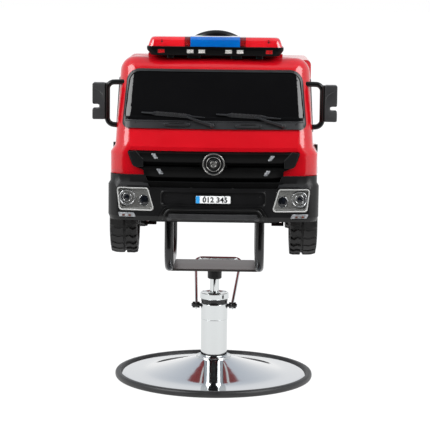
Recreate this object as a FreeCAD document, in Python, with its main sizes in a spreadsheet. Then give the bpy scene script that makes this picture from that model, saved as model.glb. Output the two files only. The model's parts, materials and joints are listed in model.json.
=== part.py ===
import FreeCAD, Part
import math
import os
import re
from types import SimpleNamespace

import Sketcher
from FreeCAD import Placement, Rotation, Vector

# Kids car barber chair: a red ride-on truck on a steel frame, a foot pump and a round base.
# Millimetres, +Z up, the truck's front looks along -Y, origin on the floor at the pump's axis.

# Driving dimensions, one row of the sheet each
sizes = {
    # Round base
    "base_radius": 350, "rim_width": 24, "rim_height": 20, "rim_lap": 5,
    "disc_edge_z": 12, "disc_top_z": 70, "disc_sheet": 2.5, "disc_shoulder_z": 26,
    "ballast_radius": 300, "ballast_bottom_z": 3, "ballast_thick": 9,
    "flange_radius": 62.5, "flange_rise": 5,
    "foot_radius": 58, "foot_thick": 10, "foot_bolt_circle": 49, "foot_bolt_radius": 4,
    "foot_bolt_head_radius": 7, "foot_bolt_head": 6, "foot_bolt_count": 4,
    # Foot pump
    "reservoir_radius": 42, "shroud_radius": 47, "shroud_wall": 2, "shroud_top_z": 264,
    "sleeve_seam_z": 208, "seam_step": 0.6, "seam_groove": 1.2,
    "band_top_z": 281, "band_groove": 1.5, "band_groove_z": 268,
    "cap_radius": 50, "cap_top_z": 303, "cap_round": 4, "cap_dish": 3,
    "rod_radius": 16, "rod_bottom_z": 96, "rod_top_z": 392, "bore_bottom_z": 90,
    "rod_clearance": 0.05,
    # Foot lever
    "pump_yaw": 1.8, "lever_pivot_z": 256, "lever_rod_radius": 6, "lever_start_x": 63,
    "lever_end_x": 84, "lever_end_y": 300, "lever_end_z": 377, "lever_bend": 26,
    "clamp_inner_x": 52, "clamp_outer_x": 77, "clamp_radius": 11, "clamp_waist": 8.5,
    "stub_inner_x": 30, "stub_radius": 6, "stub_clearance": 0.06, "shroud_hole_radius": 8,
    "lever_bolt_radius": 3, "lever_bolt_head": 4, "lever_bolt_head_radius": 6,
    # Swivel head and under-frame
    "sleeve_radius": 25, "sleeve_bottom_z": 352, "sleeve_chamfer": 3, "sleeve_groove": 1,
    "sleeve_groove_count": 28, "plate_bottom_z": 395, "plate_thick": 7, "plate_depth": 220,
    "loop_tube_radius": 15.5, "loop_half_width": 171, "loop_half_depth": 200, "loop_bend": 80,
    "crossbar_width": 40, "crossbar_thick": 8, "frame_bolt_radius": 4,
    "frame_bolt_head_radius": 7, "frame_bolt_head": 6, "frame_bolt_x": 100,
    # Truck body
    "wall": 5, "pan_bottom_z": 640, "pan_height": 90, "sill_z": 700, "shoulder_low_z": 850,
    "shoulder_z": 872, "body_half_width": 335, "cab_half_width": 320, "cab_top_half_width": 305,
    "roof_z": 1155, "front_sill_y": 556, "front_low_y": 566, "front_shoulder_y": 568,
    "front_roof_y": 490, "cab_corner": 62, "roof_corner": 50,
    "cab_rear_y": 200, "red_bottom_z": 781, "bumper_rear_y": 497,
    "cockpit_front_y": 392, "cockpit_belt_y": 300, "belt_z": 1002, "cockpit_high_z": 1100,
    "cockpit_round": 22, "step_half_width": 218, "step_depth": 36, "step_height": 11,
    "rear_end_y": 585, "rear_top_z": 1118, "rear_corner": 34, "rear_top_round": 18,
    "shutter_margin": 42, "shutter_depth": 3, "shutter_rib": 2, "shutter_pitch": 22,
    "front_axle_y": 340, "rear_axle_y": 285, "axle_z": 613, "arch_radius": 155,
    "liner_thick": 5, "liner_inner_x": 196,
    # Doors
    "door_front_y": 181, "door_rear_y": 100, "door_bottom_z": 736, "door_gap": 3,
    "door_round": 14, "door_lining": 9,
    "hinge_radius": 3.5, "hinge_barrel_radius": 6, "hinge_clearance": 0.08,
    "hinge_barrel_length": 22, "hinge_low_z": 752, "hinge_high_z": 828, "hinge_offset": 7,
    "hinge_swing_gap": 9,
    # Windscreen, wipers and side windows
    "screen_proud": 6, "glass_proud": 3, "screen_bottom_z": 930, "screen_top_z": 1118,
    "screen_bottom_half": 297, "screen_top_half": 281, "screen_border": 8,
    "screen_top_round": 44, "screen_bottom_round": 18, "cowl_height": 34,
    "glass_top_round": 38, "glass_bottom_round": 6,
    "wiper_z": 978, "wiper_tip_x": 233, "wiper_heel_x": 33, "wiper_blade": 7,
    "wiper_hub_x": 20, "wiper_hub_z": 940, "wiper_joint_x": 118, "wiper_arm": 7,
    "wiper_low": 8, "wiper_high": 13, "wiper_hub_radius": 9, "wiper_right_shift": 3,
    "window_front_y": 452, "window_rear_y": 346, "window_bottom_z": 935, "window_top_z": 1086,
    "window_rake": 44, "window_proud": 3, "window_round": 14,
    # Grille and emblem
    "grille_top_half": 279, "grille_mid_half": 262, "grille_low_half": 224,
    "grille_top_z": 859, "grille_mid_z": 811, "grille_low_z": 796, "grille_round": 7,
    "grille_back_y": 546, "grille_back_thick": 5, "grille_bottom_z": 742,
    "slat_front_y": 574, "slat_depth": 26, "slat_height": 46, "slat_gap": 4,
    "slat_top_z": 858, "front_bow_radius": 1790,
    "emblem_z": 820, "emblem_radius": 38, "emblem_band": 5, "emblem_inner_radius": 27,
    "emblem_puck": 5, "emblem_height": 5, "emblem_boss_radius": 12,
    # Bumper, lamps and number plate
    "bumper_half_width": 340, "bumper_front_y": 585, "bumper_bottom_z": 634,
    "bumper_foot_z": 650, "bumper_foot_inset": 6, "bumper_top_z": 748, "bumper_neck_z": 758,
    "bumper_neck_inset": 6, "bumper_neck_back": 11, "bumper_corner": 46, "bumper_wall": 6,
    "bumper_scoop_half_top": 222, "bumper_scoop_half_low": 205, "bumper_scoop_z": 742,
    "recess_half": 165, "recess_low_z": 688, "recess_top_z": 729, "recess_depth": 5,
    "recess_backing": 12, "recess_round": 8,
    "headlight_outer_top_x": 312, "headlight_outer_low_x": 303, "headlight_inner_top_x": 209,
    "headlight_inner_low_x": 187, "headlight_top_z": 742, "headlight_low_z": 666,
    "headlight_round": 11, "headlight_trim": 5, "headlight_depth": 30,
    "lens_sink": 1, "lens_thick": 3,
    "lamp_x": 277, "lamp_z": 707, "lamp_radius": 23, "lamp_depth": 16,
    "dip_x": 221, "dip_z": 699, "dip_radius": 17, "dip_depth": 14,
    "fog_outer_x": 306, "fog_inner_x": 249, "fog_slant": 6, "fog_low_z": 643,
    "fog_top_z": 658, "fog_round": 3, "fog_depth": 14,
    "bar_half": 154, "bar_top_z": 681, "bar_thick": 15, "bar_drop": 26, "bar_proud": 6,
    "bar_round": 18, "skid_half": 146, "skid_bottom_z": 636, "skid_height": 22,
    "skid_proud": 4, "skid_round": 5, "plate_tag_width": 117, "plate_tag_height": 30,
    "plate_tag_thick": 3, "plate_tag_z": 706, "plate_tag_round": 3,
    "tail_lamp_width": 84, "tail_lamp_height": 34, "tail_lamp_thick": 6, "tail_lamp_z": 790,
    "tail_lamp_edge": 36, "tail_lamp_round": 6,
    # Mirrors
    "mirror_y": 466, "mirror_tube_radius": 8.5, "mirror_tube_x": 348, "mirror_top_z": 1071,
    "mirror_low_z": 936, "mirror_bend": 22, "mirror_root_x": 270, "mirror_root_drop": 8,
    "mirror_outer_x": 395, "mirror_case_depth": 42, "mirror_case_round": 9,
    "mirror_case_top_z": 1069, "mirror_notch_top_z": 1001, "mirror_notch_low_z": 988,
    "mirror_case_low_z": 952, "mirror_notch_x": 373,
    # Light bar
    "lightbar_y": 450, "lightbar_half": 220, "lightbar_low_half": 208, "lightbar_depth": 118,
    "lightbar_low_depth": 104, "lightbar_base_z": 1162, "lightbar_lens_z": 1190,
    "lightbar_top_z": 1221, "lightbar_end_slope": 16, "lightbar_round": 6,
    "lightbar_edge": 4, "beacon_half": 80, "beacon_proud": 3,
    "lightbar_foot_width": 34, "lightbar_foot_x": 165, "lightbar_foot_inner_x": 55,
    "lightbar_foot_depth": 70,
    # Dashboard, steering and horn
    "dash_front_y": 470, "dash_rear_y": 292, "dash_low_z": 880, "dash_top_z": 1046,
    "dash_round": 16, "dash_skin": 6,
    "steer_y": 149, "steer_z": 1128, "steer_tilt": 35, "rim_radius": 113, "rim_tube": 14,
    "hub_radius": 36, "hub_height": 24, "hub_set_back": 12, "spoke_width": 26,
    "spoke_thick": 10, "column_radius": 14, "column_length": 214, "column_clearance": 0.1,
    "horn_radius": 20, "horn_height": 11, "horn_clearance": 0.4, "horn_pocket": 8,
    # Seat and pedal
    "seat_half_width": 165, "seat_front_y": 52, "seat_base_z": 820, "seat_back_top_z": 1150,
    "seat_back_thick": 24, "seat_shell_wall": 6, "seat_shell_round": 26, "seat_lean": 24,
    "seat_round": 8,
    "pad_half_width": 143, "pad_depth": 196, "pad_height": 52, "pad_crown": 16, "pad_draw": 7,
    "pad_corner": 30, "pad_clearance": 0.3, "pad_front_y": 45, "pad_edge": 12,
    "back_pad_half_width": 138, "back_pad_height": 250, "back_pad_thick": 40,
    "back_pad_low_z": 884, "pedal_x": 84, "pedal_hinge_y": 352, "pedal_hinge_z": 662,
    "pedal_width": 58, "pedal_length": 96, "pedal_thick": 9, "pedal_tilt": 38,
    "pedal_pin_radius": 4, "pedal_ear": 8, "pedal_ear_radius": 9, "pedal_round": 3,
    "pedal_gap": 0.3,
    # Axles, steering knuckles and wheels
    "beam_depth": 26, "beam_height": 24, "kingpin_x": 205, "kingpin_radius": 6,
    "boss_radius": 13, "boss_height": 26, "knuckle_gap": 0.3, "knuckle_plate": 8,
    "knuckle_outer_x": 232, "knuckle_width": 26, "beam_pad_x": 130, "beam_pad_width": 40,
    "stub_axle_radius": 7, "stub_axle_end_x": 336, "steer_arm": 50, "steer_pin_radius": 4,
    "steer_pin_head_radius": 9, "steer_pin_head": 4, "tie_rod_width": 26, "tie_rod_thick": 8, "tie_rod_hole": 7,
    "tie_rod_gap": 0.3, "rear_axle_radius": 8, "rear_axle_end_x": 336, "axle_ear_x": 170,
    "axle_ear_width": 14, "axle_ear_half": 22, "axle_clearance": 0.08,
    "wheel_radius": 118, "wheel_inner_x": 240, "wheel_outer_x": 342, "wheel_shoulder": 12,
    "wheel_dish": 30, "wheel_dish_radius": 72, "wheel_hub_radius": 24, "wheel_wall": 9,
    "wheel_rib": 4, "wheel_rib_count": 6,
    "tread_depth": 7, "tread_groove": 8, "tread_count": 24, "tread_reach": 42,
    "tread_ring_width": 6,
    # Cuts run past their faces by this much
    "overrun": 6,
}

# Places given as shares of the size that they follow
slat_profile_shares = [(0.35, 1.0), (0.0, 0.86), (0.06, 0.36), (0.5, 0.16), (0.62, 0.0),
                       (1.0, 0.0), (1.0, 1.0)]

doc = FreeCAD.newDocument("kids_car_barber_chair")
sheet = doc.addObject("Spreadsheet::Sheet", "Sizes")
for row, (alias, number) in enumerate(sizes.items(), start=1):
    sheet.set("A%d" % row, alias)
    sheet.set("B%d" % row, str(number))
    sheet.setAlias("B%d" % row, alias)
doc.recompute()
d = SimpleNamespace(**{alias: float(sheet.get(alias)) for alias in sizes})

kept = []
word = re.compile(r"[a-z_]+")
long_x = 2 * d.bumper_half_width
long_z = 2 * d.roof_z


# Bound objects: their sizes are formulas over the sheet

def formula(text):
    return word.sub(lambda m: "Sizes." + m.group(0) if m.group(0) in sizes else m.group(0), text)


def keep(thing, name):
    thing.Label = name
    kept.append(thing)
    return thing


def primitive(kind, name, **bound):
    thing = doc.addObject("Part::" + kind, name)
    for key, text in bound.items():
        place = {"x": "Placement.Base.x", "y": "Placement.Base.y", "z": "Placement.Base.z"}
        thing.setExpression(place.get(key, key), formula(text))
    return thing


def turned(name, profile):
    """A body of revolution about Z from (radius, height) formulas."""
    body = doc.addObject("PartDesign::Body", name)
    plane = next(f for f in body.Origin.OriginFeatures if f.Role == "XZ_Plane")
    sketch = body.newObject("Sketcher::SketchObject", name + "_profile")
    sketch.AttachmentSupport = [(plane, "")]
    sketch.MapMode = "FlatFace"
    values = vars(d)
    points = [Vector(size_of(r, values), size_of(z, values), 0) for r, z in profile]
    for start, end in zip(points, points[1:] + points[:1]):
        sketch.addGeometry(Part.LineSegment(start, end), False)
    count = len(points)
    for index in range(count):
        sketch.addConstraint(Sketcher.Constraint("Coincident", index, 2, (index + 1) % count, 1))
    for index, (radius, height) in enumerate(profile):
        for axis, text, value in (("X", radius, points[index].x), ("Y", height, points[index].y)):
            held = Sketcher.Constraint("Distance" + axis, -1, 1, index, 1, value)
            number = sketch.addConstraint(held)
            label = "%s_%s" % (axis.lower(), "abcdefghijklmnopqrstuvwxyz"[index])
            sketch.renameConstraint(number, label)
            sketch.setExpression("Constraints." + label, formula(text))
    turn = body.newObject("PartDesign::Revolution", name + "_turn")
    turn.Profile = sketch
    turn.ReferenceAxis = (sketch, ["V_Axis"])
    turn.Angle = 360
    return body


def size_of(text, values):
    total = 0.0
    for sign, term in re.findall(r"([+-]?)\s*([a-z_]+(?:\s*/\s*\d+)?|0)", text):
        name, _, share = term.partition("/")
        value = 0.0 if name.strip() == "0" else values[name.strip()]
        value = value / float(share) if share else value
        total += -value if sign == "-" else value
    return total


# Free shapes: outlines with rounded corners, prisms, tubes and mirrored pairs

def feature(name, shape):
    thing = doc.addObject("Part::Feature", name)
    thing.Shape = shape
    return keep(thing, name)


def front(y):
    return lambda p: Vector(p.x, y, p.y)


def side(x):
    return lambda p: Vector(x, p.x, p.y)


def plan(z):
    return lambda p: Vector(p.x, p.y, z)


def rounded(points, radius, place):
    count = len(points)
    radii = radius if isinstance(radius, list) else [radius] * count
    corners = []
    for index, (u, v) in enumerate(points):
        here = Vector(u, v, 0)
        back = (Vector(*points[index - 1], 0) - here).normalize()
        onward = (Vector(*points[(index + 1) % count], 0) - here).normalize()
        half = back.getAngle(onward) / 2
        reach = radii[index] / math.tan(half)
        bulge = radii[index] / math.sin(half) - radii[index]
        middle = here + (back + onward).normalize() * bulge
        corners.append((here + back * reach, middle, here + onward * reach))
    edges = []
    for index, (start, middle, end) in enumerate(corners):
        if radii[index] > 0:
            edges.append(Part.Arc(place(start), place(middle), place(end)).toShape())
        following = corners[(index + 1) % count][0]
        if (following - end).Length > d.rod_clearance:
            edges.append(Part.makeLine(place(end), place(following)))
    return Part.Wire(edges)


def front_prism(points, radius, y_near, y_far):
    return Part.Face(rounded(points, radius, front(y_near))).extrude(Vector(0, y_far - y_near, 0))


def side_prism(points, radius, x_low, x_high):
    return Part.Face(rounded(points, radius, side(x_low))).extrude(Vector(x_high - x_low, 0, 0))


def plan_prism(points, radius, z_low, z_high):
    return Part.Face(rounded(points, radius, plan(z_low))).extrude(Vector(0, 0, z_high - z_low))


def block(x_low, x_high, y_low, y_high, z_low, z_high):
    return Part.makeBox(x_high - x_low, y_high - y_low, z_high - z_low,
                        Vector(x_low, y_low, z_low))


def rod_x(radius, x_low, x_high, y, z):
    return Part.makeCylinder(radius, x_high - x_low, Vector(x_low, y, z), Vector(1, 0, 0))


def rod_y(radius, y_low, y_high, x, z):
    return Part.makeCylinder(radius, y_high - y_low, Vector(x, y_low, z), Vector(0, 1, 0))


def rod_z(radius, z_low, z_high, x, y):
    return Part.makeCylinder(radius, z_high - z_low, Vector(x, y, z_low))


def hex_prism(radius, start, direction):
    ring = Part.makePolygon([Vector(radius * math.cos(math.radians(60 * n)),
                                    radius * math.sin(math.radians(60 * n)), 0) for n in range(7)])
    solid = Part.Face(ring).extrude(Vector(0, 0, direction.Length))
    solid.Placement = Placement(start, Rotation(Vector(0, 0, 1), direction))
    return solid


def tube(points, radius, bend):
    """A round bar along straight runs joined by tangent arcs."""
    edges = []
    last = points[0]
    for before, here, after in zip(points, points[1:], points[2:]):
        back = (before - here).normalize()
        onward = (after - here).normalize()
        half = back.getAngle(onward) / 2
        start = here + back * (bend / math.tan(half))
        end = here + onward * (bend / math.tan(half))
        middle = here + (back + onward).normalize() * (bend / math.sin(half) - bend)
        edges.append(Part.makeLine(last, start))
        edges.append(Part.Arc(start, middle, end).toShape())
        last = end
    edges.append(Part.makeLine(last, points[-1]))
    path = Part.Wire(edges)
    circle = Part.Wire(Part.makeCircle(radius, points[0], points[1] - points[0]))
    return path.makePipeShell([circle], True, False)


def mirrored(shape):
    return shape.mirror(Vector(0, 0, 0), Vector(1, 0, 0))


def pair(shape):
    return Part.Compound([shape, mirrored(shape)])


def both(points):
    """An outline's right half, from its top, and the same half mirrored."""
    return points + [(-u, v) for u, v in reversed(points)]


def joined(first, *others):
    return first.fuse(list(others)).removeSplitter()


def edges_of(shape, wanted):
    return [edge for edge in shape.Edges if wanted(edge)]


# Outer forms of the truck, grown or shrunk by one value so that skins follow them

def bowed_section(half_width, front_y, rear_y, corner, z):
    """A level of the truck: a bowed front, two round corners tangent to it, straight sides."""
    bow = d.front_bow_radius
    bow_centre = Vector(0, bow - front_y, z)
    corner_x = half_width - corner
    corner_y = bow_centre.y - math.sqrt((bow - corner) ** 2 - corner_x ** 2)
    corner_centre = Vector(corner_x, corner_y, z)
    outward = (corner_centre - bow_centre).normalize()
    on_bow = bow_centre + outward * bow
    on_side = Vector(half_width, corner_y, z)
    between = (outward + Vector(1, 0, 0)).normalize()
    on_corner = corner_centre + between * corner
    rear = Vector(half_width, rear_y, z)

    def left(point):
        return Vector(-point.x, point.y, point.z)
    edges = [Part.Arc(left(on_bow), Vector(0, -front_y, z), on_bow).toShape(),
             Part.Arc(on_bow, on_corner, on_side).toShape(),
             Part.makeLine(on_side, rear), Part.makeLine(rear, left(rear)),
             Part.makeLine(left(rear), left(on_side)),
             Part.Arc(left(on_side), left(on_corner), left(on_bow)).toShape()]
    return Part.Wire(edges)


def bowed_form(levels, rear_y, corner):
    """A stack of bowed sections, each a half width, a front place and a height."""
    sections = [bowed_section(w, y, rear_y, corner, z) for w, y, z in levels]
    return Part.makeLoft(sections, True, True)


def cab_front_y(z):
    rise = (z - d.shoulder_z) / (d.roof_z - d.shoulder_z)
    return d.front_shoulder_y + rise * (d.front_roof_y - d.front_shoulder_y)


def cab_width(z):
    rise = (z - d.shoulder_z) / (d.roof_z - d.shoulder_z)
    return d.cab_half_width + rise * (d.cab_top_half_width - d.cab_half_width)


def cab_form(grow, rear_y):
    top = d.roof_z + grow
    levels = [(cab_width(z) + grow, cab_front_y(z) + grow, z) for z in (d.shoulder_z, top)]
    form = bowed_form(levels, rear_y, d.cab_corner + grow)

    def upper(edge):
        box = edge.BoundBox
        return box.ZMin > top - d.rod_clearance and box.YMin < rear_y - d.wall
    return form.makeFillet(d.roof_corner + grow, edges_of(form, upper))


def lower_form(grow, rear_y, bottom_z):
    levels = [(d.body_half_width + grow, d.front_sill_y + grow, bottom_z),
              (d.body_half_width + grow, d.front_low_y + grow, d.shoulder_low_z),
              (d.cab_half_width + grow, d.front_shoulder_y + grow, d.shoulder_z)]
    return bowed_form(levels, rear_y, d.cab_corner + grow)


def bumper_form(grow, bottom_z, top_z):
    w = d.bumper_half_width + grow
    y = d.bumper_front_y + grow
    inset = d.bumper_foot_inset
    levels = [(w - inset, y - inset, bottom_z), (w, y, d.bumper_foot_z),
              (w, y, d.bumper_top_z),
              (w - d.bumper_neck_inset, y - d.bumper_neck_back, d.bumper_neck_z),
              (w - d.bumper_neck_inset, y - d.bumper_neck_back, top_z)]
    return bowed_form(levels, -d.bumper_rear_y, d.bumper_corner + grow)


# Round base

def build_base():
    disc_top = [("base_radius - rim_width + rim_lap", "disc_edge_z"),
                ("base_radius - rim_width - rim_lap", "disc_shoulder_z - rim_lap"),
                ("base_radius - flange_radius - flange_radius", "disc_shoulder_z + rim_lap"),
                ("ballast_radius / 2 + rim_lap", "disc_shoulder_z + disc_edge_z + rim_lap"),
                ("flange_radius", "disc_top_z")]
    sheet_metal = " - disc_sheet"
    under = [(r, z + sheet_metal) for r, z in reversed(disc_top)]
    keep(turned("base_disc", disc_top + under), "base_disc")
    outer = "base_radius"
    keep(turned("base_rim", [
        (outer + " - rim_width - rim_lap - rim_lap", "0"),
        (outer + " - rim_lap", "0"),
        (outer, "rim_lap"),
        (outer, "rim_height - rim_lap"),
        (outer + " - rim_lap", "rim_height"),
        (outer + " - rim_width + rim_lap + rim_lap", "rim_height + disc_sheet"),
        (outer + " - rim_width + rim_lap", "disc_edge_z"),
        (outer + " - rim_width + rim_lap", "disc_edge_z - disc_sheet"),
        (outer + " - rim_width - rim_lap - rim_lap", "disc_edge_z - disc_sheet"),
    ]), "base_rim")
    keep(turned("base_flange", [
        ("shroud_radius", "disc_top_z"),
        ("flange_radius", "disc_top_z"),
        ("flange_radius - disc_sheet", "disc_top_z + flange_rise"),
        ("shroud_radius + disc_sheet", "disc_top_z + flange_rise + disc_sheet"),
        ("shroud_radius", "disc_top_z + flange_rise"),
    ]), "base_flange")


def foot_bolts():
    bolts = []
    top = d.ballast_bottom_z + d.ballast_thick + d.foot_thick
    for turn in range(int(d.foot_bolt_count)):
        angle = math.radians(360 / d.foot_bolt_count * (turn + 0.5))
        x = d.foot_bolt_circle * math.cos(angle)
        y = d.foot_bolt_circle * math.sin(angle)
        shank = rod_z(d.foot_bolt_radius, d.ballast_bottom_z, top, x, y)
        head = hex_prism(d.foot_bolt_head_radius, Vector(x, y, top), Vector(0, 0, d.foot_bolt_head))
        bolts.append(joined(shank, head))
    return Part.Compound(bolts)


def build_pump_foot():
    bolts = foot_bolts()
    floor = d.ballast_bottom_z + d.ballast_thick
    ballast = rod_z(d.ballast_radius, d.ballast_bottom_z, floor, 0, 0)
    feature("base_ballast", ballast.cut(bolts))
    foot = rod_z(d.foot_radius, floor, floor + d.foot_thick, 0, 0)
    barrel = rod_z(d.reservoir_radius, floor, d.band_top_z, 0, 0)
    bore = rod_z(d.rod_radius + d.rod_clearance, d.bore_bottom_z, d.band_top_z + d.overrun, 0, 0)
    stub_holes = pump_turned(pair(rod_x(d.stub_radius + d.stub_clearance,
                                        d.stub_inner_x - d.clamp_waist / 4,
                                        d.shroud_radius, 0, d.lever_pivot_z)))
    reservoir = joined(foot, barrel).cut(bore).cut(bolts).cut(stub_holes)
    feature("pump_reservoir", reservoir)
    feature("base_bolts", bolts)


# Foot pump

def pump_turned(shape):
    """The pump's head, with its lever, sits turned a little on the base."""
    return shape.rotated(Vector(0, 0, 0), Vector(0, 0, 1), -d.pump_yaw)


def build_pump():
    radius = d.shroud_radius
    inner = radius - d.shroud_wall
    step = d.seam_step
    profile = [(inner, d.disc_top_z), (radius, d.disc_top_z), (radius, d.sleeve_seam_z),
               (radius - d.seam_groove, d.sleeve_seam_z),
               (radius - d.seam_groove, d.sleeve_seam_z + d.seam_groove),
               (radius + step, d.sleeve_seam_z + d.seam_groove),
               (radius + step, d.shroud_top_z), (inner, d.shroud_top_z)]
    ring = Part.makePolygon([Vector(r, 0, z) for r, z in profile + profile[:1]])
    shroud = Part.Face(ring).revolve(Vector(0, 0, 0), Vector(0, 0, 1), 360)
    holes = pump_turned(pair(rod_x(d.shroud_hole_radius, d.stub_inner_x, d.cap_radius,
                                   0, d.lever_pivot_z - d.shroud_wall)))
    # The shroud's rim is open above each stub, so it drops over them
    slots = pump_turned(pair(block(d.stub_inner_x, d.cap_radius, -d.shroud_hole_radius,
                                   d.shroud_hole_radius, d.lever_pivot_z - d.shroud_wall,
                                   d.shroud_top_z + d.overrun)))
    feature("pump_shroud", shroud.cut(holes).cut(slots))
    keep(turned("pump_band", [
        ("reservoir_radius", "shroud_top_z"),
        ("shroud_radius - seam_groove", "shroud_top_z"),
        ("shroud_radius - seam_groove", "band_groove_z"),
        ("shroud_radius - seam_groove - band_groove", "band_groove_z + band_groove"),
        ("shroud_radius", "band_groove_z + band_groove + band_groove"),
        ("shroud_radius", "band_top_z"),
        ("reservoir_radius", "band_top_z"),
    ]), "pump_band")
    keep(turned("pump_cap", [
        ("rod_radius + rod_clearance", "band_top_z"),
        ("cap_radius", "band_top_z"),
        ("cap_radius", "cap_top_z - cap_round"),
        ("cap_radius - cap_round", "cap_top_z"),
        ("cap_radius - cap_round - cap_round", "cap_top_z"),
        ("rod_radius + cap_round", "cap_top_z - cap_dish"),
        ("rod_radius + rod_clearance", "cap_top_z - cap_dish"),
    ]), "pump_cap")
    keep(primitive("Cylinder", "piston_rod", Radius="rod_radius",
                   Height="rod_top_z - rod_bottom_z", z="rod_bottom_z"), "piston_rod")


# Foot lever: one bent rod held by two clamps on stub shafts

def build_lever():
    start = Vector(d.lever_start_x, 0, d.lever_pivot_z)
    corner = Vector(d.lever_end_x, d.lever_end_y, d.lever_end_z)
    far_corner = Vector(-corner.x, corner.y, corner.z)
    far_start = Vector(-start.x, start.y, start.z)
    rod = tube([start, corner, far_corner, far_start], d.lever_rod_radius, d.lever_bend)
    clamps = []
    bolts = []
    for sign in (1, -1):
        def along(near, far, radius):
            x_low, x_high = sorted((sign * near, sign * far))
            return rod_x(radius, x_low, x_high, 0, d.lever_pivot_z)
        stub = along(d.stub_inner_x, d.clamp_inner_x, d.stub_radius)
        waist = along(d.clamp_inner_x, d.clamp_outer_x, d.clamp_waist)
        collar_width = (d.clamp_outer_x - d.clamp_inner_x) / 3
        inner_collar = along(d.clamp_inner_x, d.clamp_inner_x + collar_width, d.clamp_radius)
        outer_collar = along(d.clamp_outer_x - collar_width, d.clamp_outer_x, d.clamp_radius)
        bolt = along(d.clamp_inner_x + collar_width, d.clamp_outer_x, d.lever_bolt_radius)
        head = hex_prism(d.lever_bolt_head_radius,
                         Vector(sign * d.clamp_outer_x, 0, d.lever_pivot_z),
                         Vector(sign * d.lever_bolt_head, 0, 0))
        clamp = joined(stub, waist, inner_collar, outer_collar).cut(rod).cut(bolt)
        bolt = joined(bolt.cut(rod), head)
        clamps.append(max(clamp.Solids, key=lambda s: s.Volume))
        bolts.append(max(bolt.Solids, key=lambda s: s.Volume))
    feature("foot_lever", pump_turned(rod))
    feature("lever_clamps", pump_turned(Part.Compound(clamps)))
    feature("lever_bolts", pump_turned(Part.Compound(bolts)))


# Swivel head and under-frame

def build_frame():
    body = rod_z(d.sleeve_radius, d.sleeve_bottom_z, d.plate_bottom_z, 0, 0)
    body = body.makeChamfer(d.sleeve_chamfer, edges_of(body, lambda e: (
        isinstance(e.Curve, Part.Circle) and e.BoundBox.ZMax < d.sleeve_bottom_z + d.wall)))
    bore = rod_z(d.rod_radius + d.rod_clearance, d.sleeve_bottom_z - d.overrun, d.rod_top_z, 0, 0)
    grooves = []
    for turn in range(int(d.sleeve_groove_count)):
        angle = 2 * math.pi * turn / d.sleeve_groove_count
        grooves.append(rod_z(d.sleeve_groove, d.sleeve_bottom_z - d.overrun, d.plate_bottom_z,
                             d.sleeve_radius * math.cos(angle), d.sleeve_radius * math.sin(angle)))
    feature("taper_sleeve", body.cut(bore).cut(grooves))

    x = d.loop_half_width - d.loop_tube_radius
    y = d.loop_half_depth - d.loop_tube_radius
    low = d.plate_bottom_z + d.loop_tube_radius
    high = d.pan_bottom_z - d.crossbar_thick
    run = [Vector(x, -y, high), Vector(x, -y, low), Vector(x, y, low), Vector(x, y, high)]
    loop = tube(run, d.loop_tube_radius, d.loop_bend)
    feature("frame_loop_right", loop)
    feature("frame_loop_left", mirrored(loop))
    half = d.plate_depth / 2
    plate = block(-x, x, -half, half, d.plate_bottom_z, d.plate_bottom_z + d.plate_thick)
    feature("seat_plate", plate.cut([loop, mirrored(loop)]))

    bars = []
    bolts = []
    for y_bar in (-y, y):
        bars.append(block(-d.loop_half_width, d.loop_half_width, y_bar - d.crossbar_width / 2,
                          y_bar + d.crossbar_width / 2, high, d.pan_bottom_z))
        for x_bolt in (-d.frame_bolt_x, d.frame_bolt_x):
            top = d.pan_bottom_z + d.wall
            shank = rod_z(d.frame_bolt_radius, high, top, x_bolt, y_bar)
            head = hex_prism(d.frame_bolt_head_radius, Vector(x_bolt, y_bar, high),
                             Vector(0, 0, -d.frame_bolt_head))
            nut = hex_prism(d.frame_bolt_head_radius, Vector(x_bolt, y_bar, top),
                            Vector(0, 0, d.frame_bolt_head))
            bolts.append(joined(shank, head, nut))
    feature("frame_crossbars", Part.Compound(bars).cut(bolts))
    feature("frame_bolts", Part.Compound(bolts))
    return bolts


# Chassis pan with wheel-arch liners

def axle_places():
    return (-d.front_axle_y, d.rear_axle_y)


def liner_form(y):
    """The full round that a wheel-arch liner is cut from, on the right."""
    return rod_x(d.arch_radius + d.liner_thick, d.liner_inner_x, d.body_half_width - d.wall,
                 y, d.axle_z)


def build_chassis(bolts):
    half = d.body_half_width - d.wall
    rear = d.rear_end_y - d.wall
    low = d.pan_bottom_z
    high = low + d.pan_height

    def tray(inset, z_low, z_high):
        x = half - inset
        near = -d.bumper_rear_y + inset
        far = rear - inset
        return plan_prism([(-x, near), (x, near), (x, far), (-x, far)],
                          d.rear_corner - d.wall - inset, z_low, z_high)
    outer = tray(0, low, high)
    inner = tray(d.wall, low + d.wall, high + d.overrun)
    wells = []
    liners = []
    for y in axle_places():
        well = rod_x(d.arch_radius, d.liner_inner_x + d.liner_thick, half + d.overrun, y, d.axle_z)
        above = block(0, long_x, y - long_x, y + long_x, low, long_z)
        liner = liner_form(y).cut(well).common(above)
        wells += [well, mirrored(well)]
        liners += [liner, mirrored(liner)]
    ears = []
    for sign in (-1, 1):
        x = sign * d.axle_ear_x
        ear = block(x - d.axle_ear_width / 2, x + d.axle_ear_width / 2,
                    d.rear_axle_y - d.axle_ear_half, d.rear_axle_y + d.axle_ear_half,
                    d.axle_z - d.axle_ear_half, low)
        ears.append(ear)
    pan = joined(outer.cut(inner).cut(wells), *liners, *ears)
    bore = rod_x(d.rear_axle_radius + d.axle_clearance, -half, half, d.rear_axle_y, d.axle_z)
    feature("chassis_pan", joined(pan.cut(bore).cut(bolts), *pedal_ears()))


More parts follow.
